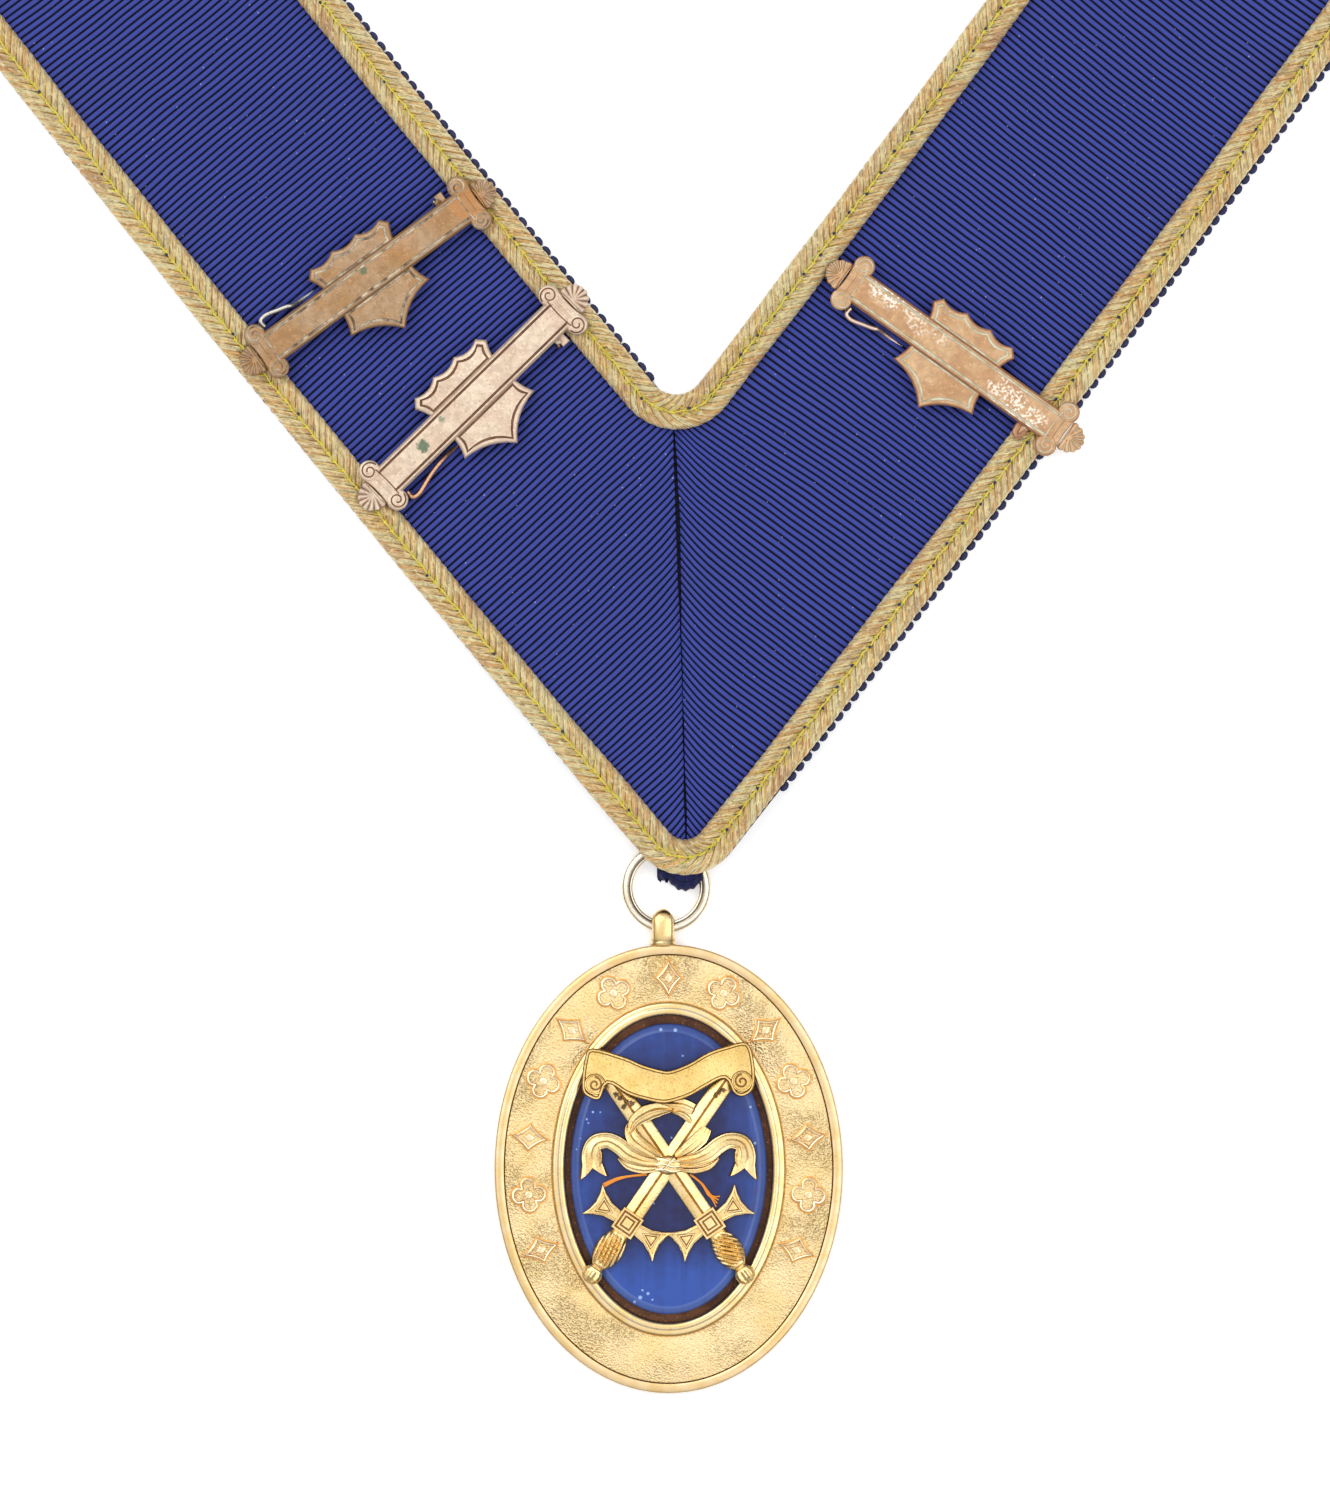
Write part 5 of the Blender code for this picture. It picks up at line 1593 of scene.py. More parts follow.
@dataclass
class OvalJewel:
    """The oval jewel's frame, plaque, swords with their bow, and bare scroll."""

    width: float = 62.6 * MM
    height: float = 80.6 * MM
    band: float = 12.7 * MM
    frame_base: float = 1.1 * MM
    plaque_thickness: float = 2.9 * MM
    loop_width: float = 4.0 * MM
    loop_across: float = -1.0 * MM
    motifs: int = 13
    motif_size: float = 6.6 * MM
    sword_lean: float = math.radians(34.5)
    sword_length: float = 46.5 * MM
    blade_width: float = 3.5 * MM
    guard_span: float = 15.4 * MM
    emblem_thickness: float = 1.3 * MM
    bow_span: float = 31.3 * MM
    emblem_rise: float = 1.1 * MM
    scroll_span: float = 31 * MM
    oval_steps: int = 180
    centre: Vector = field(default_factory=Vector)
    # Slot 4 in the dip before the moulding is painted shade, slot 5 on the moulding's rising face a painted
    # highlight, slot 3 on the inner wall painted shade in the gap.
    band_profile: tuple[tuple[float, float, int], ...] = (
        (0, 0, 6), (0, 2.0, 6), (0.08, 2.16, 6), (0.3, 2.27, 6), (0.9, 2.33, 6), (1.4, 2.3, 6),
        (1.66, 2.2, 6), (1.74, 1.55, 1), (1.86, 1.55, 0), (1.92, 2.02, 2), (2.6, 2.1, 2),
        (4.2, 2.2, 2), (6.0, 2.24, 2), (8.0, 2.18, 2), (9.6, 2.06, 2), (10.1, 1.99, 4), (10.2, 2.02, 0),
        (10.32, 2.28, 0), (10.6, 2.5, 0), (10.95, 2.58, 0), (11.2, 2.56, 0), (11.28, 2.58, 5),
        (11.52, 2.8, 5), (11.62, 2.84, 0), (12.0, 2.88, 0), (12.4, 2.74, 0), (12.62, 2.4, 0),
        (12.7, 1.9, 3), (12.7, 0, 3),
    )

    grip_profile: tuple[tuple[float, float, float], ...] = (
        (0.0, 0.3, 0.3), (0.008, 0.72, 0.62), (0.024, 1.02, 0.92), (0.042, 1.06, 1.0), (0.06, 0.86, 0.9),
        (0.07, 0.62, 0.6), (0.08, 0.84, 0.86), (0.098, 1.16, 0.98), (0.125, 1.42, 1.06), (0.155, 1.5, 1.1),
        (0.185, 1.36, 1.04), (0.21, 1.1, 0.94), (0.228, 0.9, 0.72), (0.24, 0.84, 0.7), (0.256, 0.98, 0.84),
        (0.27, 0.98, 0.84),
    )

    def __post_init__(self) -> None:
        """Finds the jewel's middle from its plaque."""
        low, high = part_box("enamel_plaque")
        self.centre = (low + high) / 2

    def oval(self, across: float, along: float, count: int) -> np.ndarray:
        """Points of an oval round the jewel's middle, from half its width and half its height."""
        turns = np.arange(count) * math.tau / count
        return together(self.centre.x + across * np.cos(turns), self.centre.y + along * np.sin(turns))

    def dress_frame(self, finishes: list[Finish]) -> Piece:
        """Builds the frame: rim, stippled band with motifs, inner moulding and loop.

        Args:
            finishes: Gilt, dark line, stippled gilt, the dark inner wall that is painted shade in the gap,
                the painted shade at the motifs' feet and the painted highlight on their ridges, and the rim.

        Returns:
            The piece.
        """
        across, along = self.width / 2, self.height / 2
        rows, slots = [], []
        for inset, height, slot in self.band_profile:
            oval = self.oval(across - inset * MM, along - inset * MM, self.oval_steps)
            rows.append(raised(oval, self.frame_base + height * MM))
            slots.append(slot)
        shape = Shape()
        shape.add_loft(np.array(rows), closed=True, slots=slots)
        self.add_motifs(shape)
        self.add_loop(shape)
        piece = shape.build("gilt_frame", finishes, 42)
        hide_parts("jewel_frame")
        return piece

    def add_motifs(self, shape: Shape) -> None:
        """Adds the raised lozenges and four-lobed leaves round the band.

        Args:
            shape: The shape that gets them.
        """
        field_in = self.band * 0.47
        across, along = self.width / 2 - field_in, self.height / 2 - field_in
        turns = np.linspace(math.radians(205), math.radians(-25), 361)
        points = together(across * np.cos(turns), along * np.sin(turns))
        reached = np.concatenate([[0], np.cumsum(np.linalg.norm(np.diff(points, axis=0), axis=1))])
        top = self.frame_base + 2.22 * MM
        levels = [(-0.26, -1.2), (-0.26, 0.03), (-0.02, 0.08), (0.06, 0.5), (0.2, 0.58)]
        levels += [(0.4, 0.52), (0.5, 0.14), (0.7, 0.11)]
        boss = in_mm([(-0.1, 0), (0, 0.12), (0.08, 0.42), (0.2, 0.46)])
        long, short = 1.1 * MM, 0.78 * MM
        for k in range(self.motifs):
            index = int(np.argmin(np.abs(reached - reached[-1] * k / (self.motifs - 1))))
            x, y = points[index]
            facing = math.atan2(y / along**2, x / across**2)
            place = Matrix.Translation((self.centre.x + x, self.centre.y + y, top))
            start = len(shape.points)
            outline = self.leaf() if k % 2 else self.lozenge()
            # The motif and its boss: painted shade on the foot and the inner slope, painted highlight on the
            # outer slope and the ridge.
            shape.add_prism(outline, in_mm(levels), [4, 4, 5, 5, 5, 4, 2, 2])
            inner = circle(0.72 * MM, 16) if k % 2 else [(long, 0), (0, short), (-long, 0), (0, -short)]
            shape.add_prism(inner, boss, [4, 5, 5, 5])
            shape.move(place @ Matrix.Rotation(facing, 4, "Z"), start)

    def lozenge(self) -> Panel:
        """A lozenge with slightly hollow sides.

        Returns:
            The outline.
        """
        half = self.motif_size / 2
        corners = [(half, 0.0), (0.0, half * 0.72), (-half, 0.0), (0.0, -half * 0.72)]
        return Panel(corners, [0.25 * MM] * 4)

    def leaf(self) -> list[Point]:
        """A leaf of four rounded lobes.

        Returns:
            The outline's points.
        """
        outline = []
        for k in range(48):
            angle = math.tau * k / 48
            reach = self.motif_size / 2 * (0.62 + 0.34 * abs(math.cos(2 * angle)) ** 0.7)
            outline.append((reach * math.cos(angle), reach * math.sin(angle)))
        return outline

    def add_loop(self, shape: Shape) -> None:
        """Adds the loop with its waist above the frame.

        Args:
            shape: The shape that gets it.
        """
        top = self.centre.y + self.height / 2
        length, wall = 6.3 * MM, 0.8 * MM
        middle = top + length / 2
        high = 4.1 * MM / 2
        x = self.centre.x + self.loop_across
        turns = np.arange(40) * math.tau / 40
        lean_y = np.sign(np.cos(turns)) * np.abs(np.cos(turns)) ** 0.75
        lean_z = np.sign(np.sin(turns)) * np.abs(np.sin(turns)) ** 0.75
        crown = 0.6 * MM
        reach_y, reach_z = length / 2 - 0.15 * MM, high - wall / 2
        rings = []
        for a, b in zip(lean_y, lean_z):
            ring = []
            arch = math.sqrt(max(1 - (max(a - 0.36, 0) / 0.66) ** 2, 0.08))
            for side, out in circle(1, 14):
                bulge = (abs(side) ** 0.75) * math.copysign(1, side)
                grow = wall / 2 * out
                east = x + bulge * self.loop_width / 2 * arch
                up = high + (reach_z + grow + crown * max(out, 0.0)) * b
                ring.append((east, middle + (reach_y + grow) * a, up))
            rings.append(ring)
        shape.add_loft(np.array(rings)[:, ::-1], closed=True)
        for up, size in ((0.15, 0.42), (0.95, 0.3)):
            east = x + np.array([-0.49, -0.36, 0, 0.36, 0.49]) * self.loop_width
            north = top + (up + np.array([0, 0.1, 0.18, 0.1, 0])) * MM
            shape.add_wire(together(east, north, np.array([2.7, 3.5, 4.0, 3.5, 2.7]) * MM), size * MM, 8)

    def dress_plaque(self, enamel: Finish, edge: Finish) -> Piece:
        """Builds the enamelled plaque.

        Args:
            enamel: The finish of its face.
            edge: The finish of its bevel, a paler enamel that is a painted reflection.

        Returns:
            The piece.
        """
        across = self.width / 2 - self.band - 1.0 * MM
        along = self.height / 2 - self.band - 1.5 * MM
        base = self.frame_base
        bevel = 1.45
        levels = [(0, 0, 0), (0, 0.62, 0), (0.08, 0.68, 1), (0.45, 0.82, 1), (0.85, 0.93, 1)]
        levels += [(1.2, 0.985, 1), (bevel, 1.0, 0)]
        rows = []
        for inset, share, _ in levels:
            oval = self.oval(across - inset * MM, along - inset * MM, 120)
            rows.append(raised(oval, base + share * self.plaque_thickness))
        for shrink in (0.75, 0.5, 0.25):
            oval = self.oval((across - bevel * MM) * shrink, (along - bevel * MM) * shrink, 120)
            rows.append(raised(oval, base + self.plaque_thickness + 0.001 * MM))
        slots = [slot for _, _, slot in levels] + [0, 0, 0]
        shape = Shape()
        shape.add_loft(np.array(rows), slots=slots)
        piece = shape.build("enamel_oval", [enamel, edge], 50)
        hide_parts("enamel_plaque")
        return piece

    def emblem_place(self) -> Vector:
        """The place of the emblem's knot, on the plaque's face."""
        low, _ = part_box("swords_emblem")
        return Vector((self.centre.x, self.centre.y + self.emblem_rise, low.z))

    def dress_emblem(self, finishes: list[Finish]) -> Piece:
        """Builds the crossed swords tied with a bow.

        Args:
            finishes: Its gilt, its deep lines and the pale painted highlight on the knot's folds.

        Returns:
            The piece.
        """
        shape = Shape()
        self.add_sword(shape, self.sword_lean, math.radians(-100), 0.78 * MM)
        self.add_sword(shape, -self.sword_lean, math.radians(46), 0.7 * MM)
        self.add_bow(shape)
        shape.move(Matrix.Translation(self.emblem_place()))
        piece = shape.build("crossed_swords", finishes, 32)
        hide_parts("swords_emblem")
        return piece

    def add_sword(self, shape: Shape, lean: float, steep: float, pitch: float) -> None:
        """Adds one sword.

        Args:
            shape: The shape that gets it.
            lean: Its lean from the upright.
            steep: How much the grip's flutes lean.
            pitch: The flutes' distance.
        """
        start = len(shape.points)
        pommel = -self.sword_length * 0.557
        half, thick = self.blade_width / 2, self.emblem_thickness
        ridge = 0.75 * thick
        section = [(1, 0), (1.0, 0.5), (0.88, 0.66), (0.14, 0.9), (0.07, 0.72)]
        section += [(-x, z) for x, z in reversed(section)]
        rows = []
        places = ((0.27, 1, 1), (0.6, 1, 1), (0.95, 1, 1), (0.98, 0.85, 0.8), (0.995, 0.5, 0.6))
        for place, width, height in places:
            y = pommel + place * self.sword_length
            rows.append([(x * half * width, y, z * ridge * height) for x, z in section])
        columns = np.array([[0, 0, 0, 0, 1, 0, 0, 0, 0, 0]])
        shape.add_loft(np.array(rows), slots=columns)
        self.add_grip(shape, pommel, steep, pitch)
        guard = pommel + 0.277 * self.sword_length
        for side in (-1, 1):
            self.add_arm(shape, guard, side)
        block = self.guard_span * 0.142
        corners = ((1, -1), (1, 1), (-1, 1), (-1, -1))
        square = [(block * x, guard + block * y) for x, y in corners]
        rise = [(0, 0), (0, 0.95), (0.1, 1.08), (0.42, 1.08), (0.5, 0.9), (0.7, 0.9), (0.78, 1.06)]
        rise += [(1.12, 1.06), (1.2, 0.86), (1.35, 0.86), (1.43, 1.0), (1.7, 1.02)]
        slots = [0, 0, 0, 0, 1, 1, 0, 0, 1, 1, 0, 0]
        shape.add_prism(square, in_mm(rise, thick), slots)
        shape.move(Matrix.Rotation(-lean, 4, "Z"), start)

    def add_arm(self, shape: Shape, guard: float, side: int) -> None:
        """Adds one flared arm of a guard, with nested triangles on it.

        Args:
            shape: The shape that gets it.
            guard: The guard's place along the sword.
            side: The arm's side.
        """
        half, thick = self.guard_span / 2, self.emblem_thickness
        arm = [(0.2, -0.14), (0.57, -0.19), (0.78, -0.29), (1, -0.43), (0.93, -0.2), (0.9, 0)]
        arm += [(x, -y) for x, y in reversed(arm[:-1])]
        outline = [(side * x * half, guard + y * half) for x, y in arm]
        edge = in_mm([(0, 0), (0, 0.42), (0.1, 0.5), (0.2, 0.5)], thick)
        shape.add_prism(outline, edge, [1, 1, 0, 0])
        edges = (
            [(0.2, 0.08), (0.44, 0.11), (0.6, 0.145), (0.78, 0.235), (0.94, 0.35)],
            [(0.94, 0.35), (0.88, 0.18), (0.855, 0.0), (0.88, -0.18), (0.94, -0.35)],
            [(0.94, -0.35), (0.78, -0.235), (0.6, -0.145), (0.44, -0.11), (0.2, -0.08)],
        )
        for points in edges:
            line = np.array(smooth_outline(points, 3, closed=False)) * half
            shape.add_wire(together(side * line[:, 0], guard + line[:, 1], 0.54 * thick), 0.225 * MM, 8)
        far, rise = 0.79 * side * half, 0.2 * half
        corners = [(0.4 * side * half, guard), (far, guard - rise), (far, guard + rise)]
        steps = [(0, 0.4), (0, 0.6), (0.07, 0.68), (0.26, 0.68)]
        steps += [(0.3, 0.54), (0.44, 0.54), (0.48, 0.7), (0.56, 0.72)]
        shape.add_prism(corners, in_mm(steps, thick), [1, 1, 0, 0, 1, 1, 0, 0])

    def add_grip(self, shape: Shape, pommel: float, steep: float, pitch: float) -> None:
        """Adds the fluted grip and the shell-like pommel.

        Args:
            shape: The shape that gets them.
            pommel: The sword's lower end.
            steep: How much the flutes lean from straight across.
            pitch: The flutes' distance.
        """
        table = np.array(self.grip_profile)
        steps = np.linspace(0, 1, 150)
        known = np.linspace(0, 1, len(table))
        places, widths, heights = (np.interp(steps, known, table[:, k]) for k in range(3))
        angles = np.linspace(0, math.pi, 61)
        across = np.cos(angles) * (widths * self.blade_width / 2)[:, None]
        along = (places * self.sword_length)[:, None]
        wave = np.sin((along * math.cos(steep) + across * math.sin(steep)) / pitch * math.tau)
        middle = np.clip(np.minimum(places - 0.084, 0.222 - places) / 0.012, 0, 1)[:, None]
        head = np.clip((0.058 - places) / 0.01, 0, 1)[:, None]
        flute = 0.14 * wave * middle + 0.12 * np.sin(angles * 9)[None] * head
        z = np.sin(angles) ** 0.7 * heights[:, None] * self.emblem_thickness * (1 + flute) * 0.96
        rows = together(across, pommel + along, z)
        deep = (wave[:-1] < -0.82) & (middle[:-1] > 0.5)
        shape.add_loft(rows, slots=deep.astype(int))

    def add_band(
        self,
        shape: Shape,
        path: list[Point],
        widths: list[float],
        heights: list[float],
        creases: float,
        notch: float = 0.0,
    ) -> None:
        """Adds a stretch of ribbon with lengthwise creases.

        Args:
            shape: The shape that gets it.
            path: Points of its middle line, in millimetres from the knot.
            widths: Its half width at each of even steps, in millimetres.
            heights: Its height at each of even steps, as shares of the emblem's thickness.
            creases: How many creases run along it.
            notch: How deep its swallow-tail end is cut, as a share of its length.
        """
        fine = np.array(smooth_outline(path, 8, closed=False)) * MM
        count = len(fine)
        spots = np.linspace(0, 1, count)
        wide = np.interp(spots, np.linspace(0, 1, len(widths)), widths) * MM
        high = np.interp(spots, np.linspace(0, 1, len(heights)), heights) * self.emblem_thickness
        ahead = np.gradient(fine, axis=0)
        ahead /= np.linalg.norm(ahead, axis=1, keepdims=True)
        beside = np.stack([-ahead[:, 1], ahead[:, 0]], axis=1)
        share = np.linspace(-1, 1, 19)
        rows = np.zeros((count, len(share) * 2, 3))
        crown = 0.98 - 0.12 * np.abs(share) ** 4 - 0.4 * (np.abs(share) > 0.95)
        fold = 0.13 * np.cos(share * math.pi * creases + 0.6) + 0.05 * np.cos(share * math.pi * creases * 2.3)
        for column, (side, low) in enumerate(zip(share, crown + fold)):
            at = spots * (1 - notch * (1 - abs(side)))
            x = np.interp(at, spots, fine[:, 0] + beside[:, 0] * side * wide)
            y = np.interp(at, spots, fine[:, 1] + beside[:, 1] * side * wide)
            rows[:, column] = together(x, y, np.interp(at, spots, high) * low)
        across = len(share)
        rows[:, across:] = rows[:, :across][:, ::-1]
        rows[:, across:, 2] = 0
        first = shape.count
        edges = np.array([[1 if k in (across, 2 * across - 2) else 0 for k in range(2 * across)]])
        shape.add_loft(rows[:, ::-1], slots=edges, caps=False)
        blank = np.zeros((4, 2))
        for row, back in ((0, True), (count - 1, False)):
            start = first + row * 2 * across
            for k in range(across - 1):
                face = (start + k, start + k + 1, start + 2 * across - 2 - k, start + 2 * across - 1 - k)
                shape.add_face(face if back else face[::-1], blank, 1)

    def add_bow(self, shape: Shape) -> None:
        """Adds the knot, the tails and the loops.

        Args:
            shape: The shape that gets them.
        """
        thick = self.emblem_thickness
        for side in (-1, 1):
            tail = [(1.6, 0.3), (4.4, 0.6), (7.0, 1.6), (9.0, 3.2), (11.0, 4.1), (13.1, 3.6)]
            tail = [(side * x, y) for x, y in [*tail, (13.95, 1.8), (13.7, -0.3), (13.4, -2.7)]]
            widths = [0.8, 1.35, 1.6, 1.6, 1.5, 1.65, 1.75, 2.0, 2.7]
            heights = [1.0, 0.86, 0.7, 0.66, 0.72, 0.84, 0.78, 0.62, 0.5]
            self.add_band(shape, tail, widths, heights, 2.2, 0.1)
            lip = [(side * x, y) for x, y in ((12.6, 3.0), (12.1, 1.9), (12.1, 0.4), (12.4, -0.6))]
            self.add_band(shape, lip, [0.1, 0.3, 0.3, 0.1], [0.8, 0.95, 0.85, 0.6], 0.5)
            under = [(side * x, y) for x, y in ((1.8, -0.9), (4.6, -1.1), (7.2, -0.5), (9.0, 0.9))]
            self.add_band(shape, under, [0.5, 0.8, 0.7, 0.2], [0.9, 0.66, 0.5, 0.4], 1.1)
        twist = [(-1.8, 1.2), (-4.3, 2.9), (-6.2, 4.4), (-6.8, 6.2), (-5.9, 7.6)]
        self.add_band(shape, twist, [0.7, 1.25, 1.45, 1.1, 0.7], [0.95, 0.86, 0.78, 0.8, 0.7], 2.0)
        leaf = [(-7.0, 5.2), (-6.1, 7.4), (-4.1, 8.9), (-1.8, 9.6), (0.7, 9.6)]
        self.add_band(shape, leaf, [0.35, 1.2, 1.6, 1.35, 0.25], [0.9, 1.02, 1.12, 1.08, 0.9], 1.6)
        top = [(-2.6, 10.5), (-0.4, 10.6), (2.4, 10.4), (4.4, 9.6)]
        self.add_band(shape, top, [0.3, 0.7, 1.3, 1.2], [0.7, 0.8, 0.84, 0.7], 1.2)
        right = [(0.7, 9.3), (2.2, 9.1), (3.6, 8.2), (4.2, 6.9)]
        self.add_band(shape, right, [0.3, 0.8, 0.9, 0.4], [0.9, 0.86, 0.72, 0.5], 1.0)
        lower = [(1.4, 1.2), (3.6, 2.8), (5.7, 4.6), (6.9, 6.3)]
        self.add_band(shape, lower, [0.7, 1.4, 1.5, 0.9], [0.95, 0.8, 0.68, 0.5], 1.8)
        knot = []
        for share in np.linspace(0, 1, 10):
            z = thick * 1.14 * math.sin(share * math.pi / 2)
            shrink = math.cos(share * math.pi / 2) * 0.6 + 0.4 if share < 1 else 0.36
            ring = [(x * 2.8 * MM * shrink, (y * 1.95 * shrink - 0.3) * MM, z) for x, y in circle(1, 28)]
            knot.append(ring)
        shape.add_loft(np.array(knot))
        folds = (
            [(-2.7, 0.7), (-1.2, 0.75), (0.6, 0.35), (2.6, 0.6)],
            [(-2.6, -0.3), (-1.0, -0.1), (0.9, -0.65), (2.6, -0.4)],
            [(-2.3, -1.2), (-0.8, -1.1), (0.8, -1.5), (2.3, -1.2)],
            [(1.0, 0.9), (0.2, 0.2), (-0.4, -0.6), (-1.2, -1.2)],
        )
        for points in folds:
            line = np.array(smooth_outline(points, 4, closed=False))
            reach = (line[:, 0] / 2.9) ** 2 + ((line[:, 1] + 0.3) / 2.1) ** 2
            z = thick * (1.14 * np.sqrt(np.clip(1 - reach * 0.8, 0.1, 1)) + 0.02)
            # The folds take the pale finish: a painted highlight along each crease.
            shape.add_wire(raised(line * MM, z), 0.24 * MM, 7, slot=2)

    def dress_scroll(self, gilt: Finish, rim: Finish) -> Piece:
        """Builds the bare scroll with its raised edge and curled ends.

        Args:
            gilt: The finish of its field.
            rim: The finish of its raised edge.

        Returns:
            The piece.
        """
        low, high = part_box("scroll_banner")
        half = self.scroll_span / 2
        corners = [
            (-0.88, 0.316), (-0.507, 0.218), (-0.30, 0.13), (-0.09, 0.07), (0.03, 0.064), (0.237, 0.144),
            (0.445, 0.264), (0.653, 0.338), (0.907, 0.383), (0.989, 0.175), (0.995, -0.117), (0.89, -0.233),
            (0.762, -0.21), (0.653, -0.035), (0.445, -0.124), (0.266, -0.228), (0.058, -0.302),
            (-0.09, -0.317), (-0.30, -0.273), (-0.478, -0.214), (-0.70, -0.093), (-0.79, -0.268),
            (-0.907, -0.257), (-1, -0.152), (-0.97, 0.189),
        ]
        outline = smooth_outline([(x * half, y * half) for x, y in corners], 4)
        levels = [(0, 0), (0, 0.6), (0.1, 0.82), (0.2, 0.9), (0.46, 0.9), (0.56, 0.78)]
        levels += [(0.68, 0.6), (0.8, 0.58)]
        disc = in_mm([(0, 0.3), (0, 0.66), (0.14, 0.78), (0.3, 0.74), (0.4, 0.62)])
        shape = Shape()
        shape.add_prism(outline, in_mm(levels), [0, 1, 1, 0, 0, 1, 0, 0])
        for side, drop in ((-1, -0.1), (1, -0.065)):
            spot = (side * 0.85 * half, drop * half)
            shape.add_prism(circle(0.125 * half, 22, spot), disc, [1, 1, 0, 0, 0])
            turns = np.linspace(0, 1, 26)
            reach = (0.085 - 0.07 * turns) * half
            angle = math.pi * 0.5 + side * turns * 1.4 * math.tau
            path = together(spot[0] + reach * np.cos(angle), spot[1] + reach * np.sin(angle), 0.68 * MM)
            shape.add_wire(path, 0.17 * MM, 7, slot=1)
        middle = (low + high) / 2
        # The outline isn't quite even, so its own box is set on the solid's
        drawn = np.array(outline)
        offset = (drawn.min(axis=0) + drawn.max(axis=0)) / 2
        shape.move(Matrix.Translation((middle.x - offset[0], middle.y - offset[1], low.z)))
        piece = shape.build("bare_scroll", [gilt, rim], 35)
        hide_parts("scroll_banner")
        return piece

    def dress_strands(self, thread: Finish) -> Piece:
        """Builds the loose orange strands beside the knot.

        Args:
            thread: Their finish.

        Returns:
            The piece.
        """
        shape = Shape()
        place = self.emblem_place()
        floor = place.z + 0.1 * MM
        for k in range(7):
            spread = (k - 3) / 3
            ends = [(-0.6, -0.185 + 0.008 * spread), (-0.755, -0.26 + 0.015 * spread)]
            path = [(-0.25, -0.13), (-0.45, -0.15), *ends]
            line = np.array(smooth_outline(path, 5, closed=False)) * self.bow_span / 2
            line = line + np.array([0.0, 0.09 * MM * spread])
            self.add_strand(shape, line, place, floor)
            tip = (0.545 + 0.035 * spread, -0.5 + 0.12 * abs(spread))
            path = [(0.25, -0.13), (0.38, -0.235), (0.475 + 0.012 * spread, -0.37), tip]
            line = np.array(smooth_outline(path, 5, closed=False)) * self.bow_span / 2
            line = line + np.array([0.12 * MM * spread, 0.0])
            self.add_strand(shape, line, place, floor)
        piece = shape.build("orange_strands", [thread], 60)
        return piece

    def add_strand(self, shape: Shape, line: np.ndarray, place: Vector, floor: float) -> None:
        """Adds one loose strand, whose way starts at the knot, at the plaque's height."""
        points = raised(line + np.array([place.x, place.y]), floor)
        shape.add_wire(points, 0.13 * MM, 5)

    def dress_back(self, gap_shade: Finish) -> None:
        """Gives the back plate, which shows in the gap round the plaque, its dark finish, painted shade for
        the deep gap.

        Args:
            gap_shade: The finish.
        """
        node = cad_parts["jewel_back"]
        node.data.materials.clear()
        node.data.materials.append(gap_shade)


# Studio


@dataclass
class Studio:
    """Floor, light and camera."""

    distance: float = 1.6
    sensor: float = 36.0
    floor_size: float = 4.0

    def set_camera(self) -> None:
        """Puts a long lens straight above the collar."""
        camera = bpy.data.cameras.new("overhead")
        camera.sensor_fit = "VERTICAL"
        camera.sensor_height = self.sensor
        camera.lens = self.sensor * self.distance / (IMAGE_SIZE[1] * PIXEL)
        camera.clip_end = 10
        item = bpy.data.objects.new("overhead", camera)
        item.location = (*VIEW_CENTRE, self.distance)
        bpy.context.scene.collection.objects.link(item)
        bpy.context.scene.camera = item

    def set_floor(self) -> None:
        """Lays the pale floor under the collar."""
        half = self.floor_size / 2
        mesh = bpy.data.meshes.new("floor")
        corners = [(-half, -half, 0), (half, -half, 0), (half, half, 0), (-half, half, 0)]
        mesh.from_pydata(corners, [], [(0, 1, 2, 3)])
        mesh.materials.append(StudioPaper("studio_paper").make())
        floor = bpy.data.objects.new("floor", mesh)
        floor.location = (0, 0, -0.05 * MM)
        bpy.context.scene.collection.objects.link(floor)

    def add_light(self, name: str, place: tuple[float, float, float], size: float, power: float) -> None:
        """Adds one soft light that faces the collar.

        Args:
            name: The light's name.
            place: Where it hangs.
            size: The length of its sides.
            power: Its power in watts.
        """
        light = bpy.data.lights.new(name, "AREA")
        light.size = size
        light.energy = power
        item = bpy.data.objects.new(name, light)
        item.location = place
        aim = Vector((*VIEW_CENTRE, 0)) - Vector(place)
        item.rotation_euler = aim.to_track_quat("-Z", "Y").to_euler()
        bpy.context.scene.collection.objects.link(item)

    def set_light(self) -> None:
        """Sets a bright sky that darkens towards the horizon, and two soft lights."""
        world = bpy.data.worlds.new("studio")
        bpy.context.scene.world = world
        world.use_nodes = True
        tree = world.node_tree
        background = tree.nodes["Background"]
        where = tree.nodes.new("ShaderNodeTexCoord")
        parts = tree.nodes.new("ShaderNodeSeparateXYZ")
        shade = tree.nodes.new("ShaderNodeMapRange")
        shade.inputs[1].default_value = 0.1
        shade.inputs[2].default_value = 0.8
        shade.inputs[3].default_value = 0.1
        shade.inputs[4].default_value = 1.16
        tree.links.new(where.outputs["Generated"], parts.inputs[0])
        tree.links.new(parts.outputs[2], shade.inputs[0])
        tree.links.new(shade.outputs[0], background.inputs["Strength"])
        background.inputs["Color"].default_value = (1.0, 1.0, 1.0, 1.0)
        self.add_light("key", (-0.8, 0.6, 1.3), 1.5, 11)
        self.add_light("fill", (0.8, -0.2, 1.2), 1.3, 5)

    def build(self) -> None:
        """Sets up the whole studio."""
        self.set_camera()
        self.set_floor()
        self.set_light()
        bpy.context.scene.view_settings.view_transform = "Standard"


def note(piece: Piece) -> None:
    """Makes a piece ride with the collar, and reports it."""
    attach(piece, BODY)
    LOG.info("%s: %d faces", piece.name, len(piece.data.polygons))


